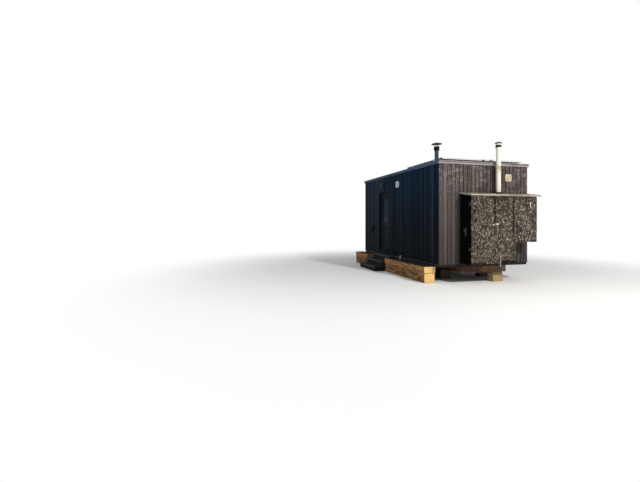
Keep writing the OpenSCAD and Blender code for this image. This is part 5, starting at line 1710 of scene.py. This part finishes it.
DRESS = {
    "rusty_steel": ["chassis_frame"],
    "floor_joists": ["floor_frame"],
    "floor_boards": ["floor_deck"],
    "wall_core": ["front_end_wall", "far_end_wall", "back_side_wall", "door_side_wall_near",
        "door_side_wall_far", "wall_over_door"],
    "ceiling_boards": ["roof_deck"],
    "aluminium": ["panel_rails"],
    "edge_trim": ["roof_edge_trim"],
    "skirt_metal": ["skirt_strip"],
    # The flue's slate blue is painted sky reflection
    "black_steel": ["stove_flue", "flue_flashing"],
    "cowl_steel": ["stove_cowl"],
    "pipe_plastic": ["vent_pipe"],
    "aged_zinc": ["door_hinges", "door_ironmongery"],
    "pipe_clip": ["vent_pipe_bracket"],
    "leaf_iron": ["cupboard_left_fittings", "cupboard_middle_fittings"],
    "rusty_iron": ["cupboard_hinges"],
    "drain_plastic": ["overflow_pipe"],
    "stained_pipe": ["small_pipes"],
    "door_pane": ["door_glass"],
    "frame_timber": ["cupboard_frame"],
    "regulator_metal": ["gas_regulator"],
}
for paint, nodes in DRESS.items():
    for name in nodes:
        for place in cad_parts[name].material_slots:
            place.material = PAINT[paint]
for obj in (BOARD, FLAKE, CLUMP, PLATE, BLADE, NAIL, SCREW, BOLT):
    bpy.data.objects.remove(obj)


# Floor, light and camera


def stage_floor():
    """A pale floor that keeps the hut's shadow and fades to the white backdrop far out."""
    f = Finish("stage_floor", roughness=0.9)
    out = f.add("VectorMath", {0: f.spot}, operation="LENGTH")["Value"]
    white = f.add("Emission", {"Color": (1, 1, 1, 1), "Strength": 1.0})[0]
    f.shader.inputs["Base Color"].default_value = (0.9, 0.9, 0.89, 1)
    pale = Signal(f, f.shader.outputs[0])
    blend = f.add("MixShader", {0: f.span(out, 3.6, 9.5), 1: pale, 2: white})[0]
    f.link(blend, f.tree.nodes["Material Output"].inputs["Surface"])
    bpy.ops.mesh.primitive_circle_add(vertices=96, radius=150, fill_type="NGON", location=(0, 0, -0.0005))
    floor = bpy.context.object
    floor.name = "pale_floor"
    floor.data.materials.append(f.mat)


def backdrop():
    """White behind everything that is seen directly, in gloss or through glass; soft grey light
    otherwise."""
    world = bpy.data.worlds.new("backdrop")
    scene.world = world
    world.use_nodes = True
    sky = Graph(world.node_tree)
    light = sky.tree.nodes["Background"]
    light.inputs["Color"].default_value = (0.94, 0.96, 1.0, 1)
    light.inputs["Strength"].default_value = 0.44
    ray = sky.add("LightPath")
    seen = sky.maths("MAXIMUM", ray["Is Camera Ray"], ray["Is Glossy Ray"])
    seen = sky.maths("MAXIMUM", seen, ray["Is Transmission Ray"])
    white = sky.add("Background", {"Color": (1, 1, 1, 1)})[0]
    mix = sky.add("MixShader", {0: seen, 1: Signal(sky, light.outputs[0]), 2: white})[0]
    sky.link(mix, sky.tree.nodes["World Output"].inputs["Surface"])


def lamp(name, place, aim, size, power, colour):
    data = bpy.data.lights.new(name, "AREA")
    data.shape = "DISK"
    data.size = size
    data.energy = power
    data.color = colour
    obj = bpy.data.objects.new(name, data)
    obj.location = place
    obj.rotation_euler = (Vector(aim) - Vector(place)).to_track_quat("-Z", "Y").to_euler()
    scene.collection.objects.link(obj)


def camera():
    data = bpy.data.cameras.new("camera")
    data.sensor_width = 36.0
    data.lens = 20.14
    data.shift_y = -0.0303
    data.clip_end = 400
    obj = bpy.data.objects.new("camera", data)
    obj.location = (-5.9285, -9.77, 1.5)
    obj.rotation_euler = (math.radians(90), 0, math.radians(-14.744))
    scene.collection.objects.link(obj)
    scene.camera = obj


stage_floor()
backdrop()
lamp("key", (1.8, -12.0, 8.0), (0, -1, 1.4), 0.8, 1200, (1.0, 0.97, 0.92))
lamp("fill", (-9.0, -5.0, 6.0), (0, 0, 1.4), 5.0, 120, (0.92, 0.96, 1.0))
camera()
scene.view_settings.view_transform = "Standard"
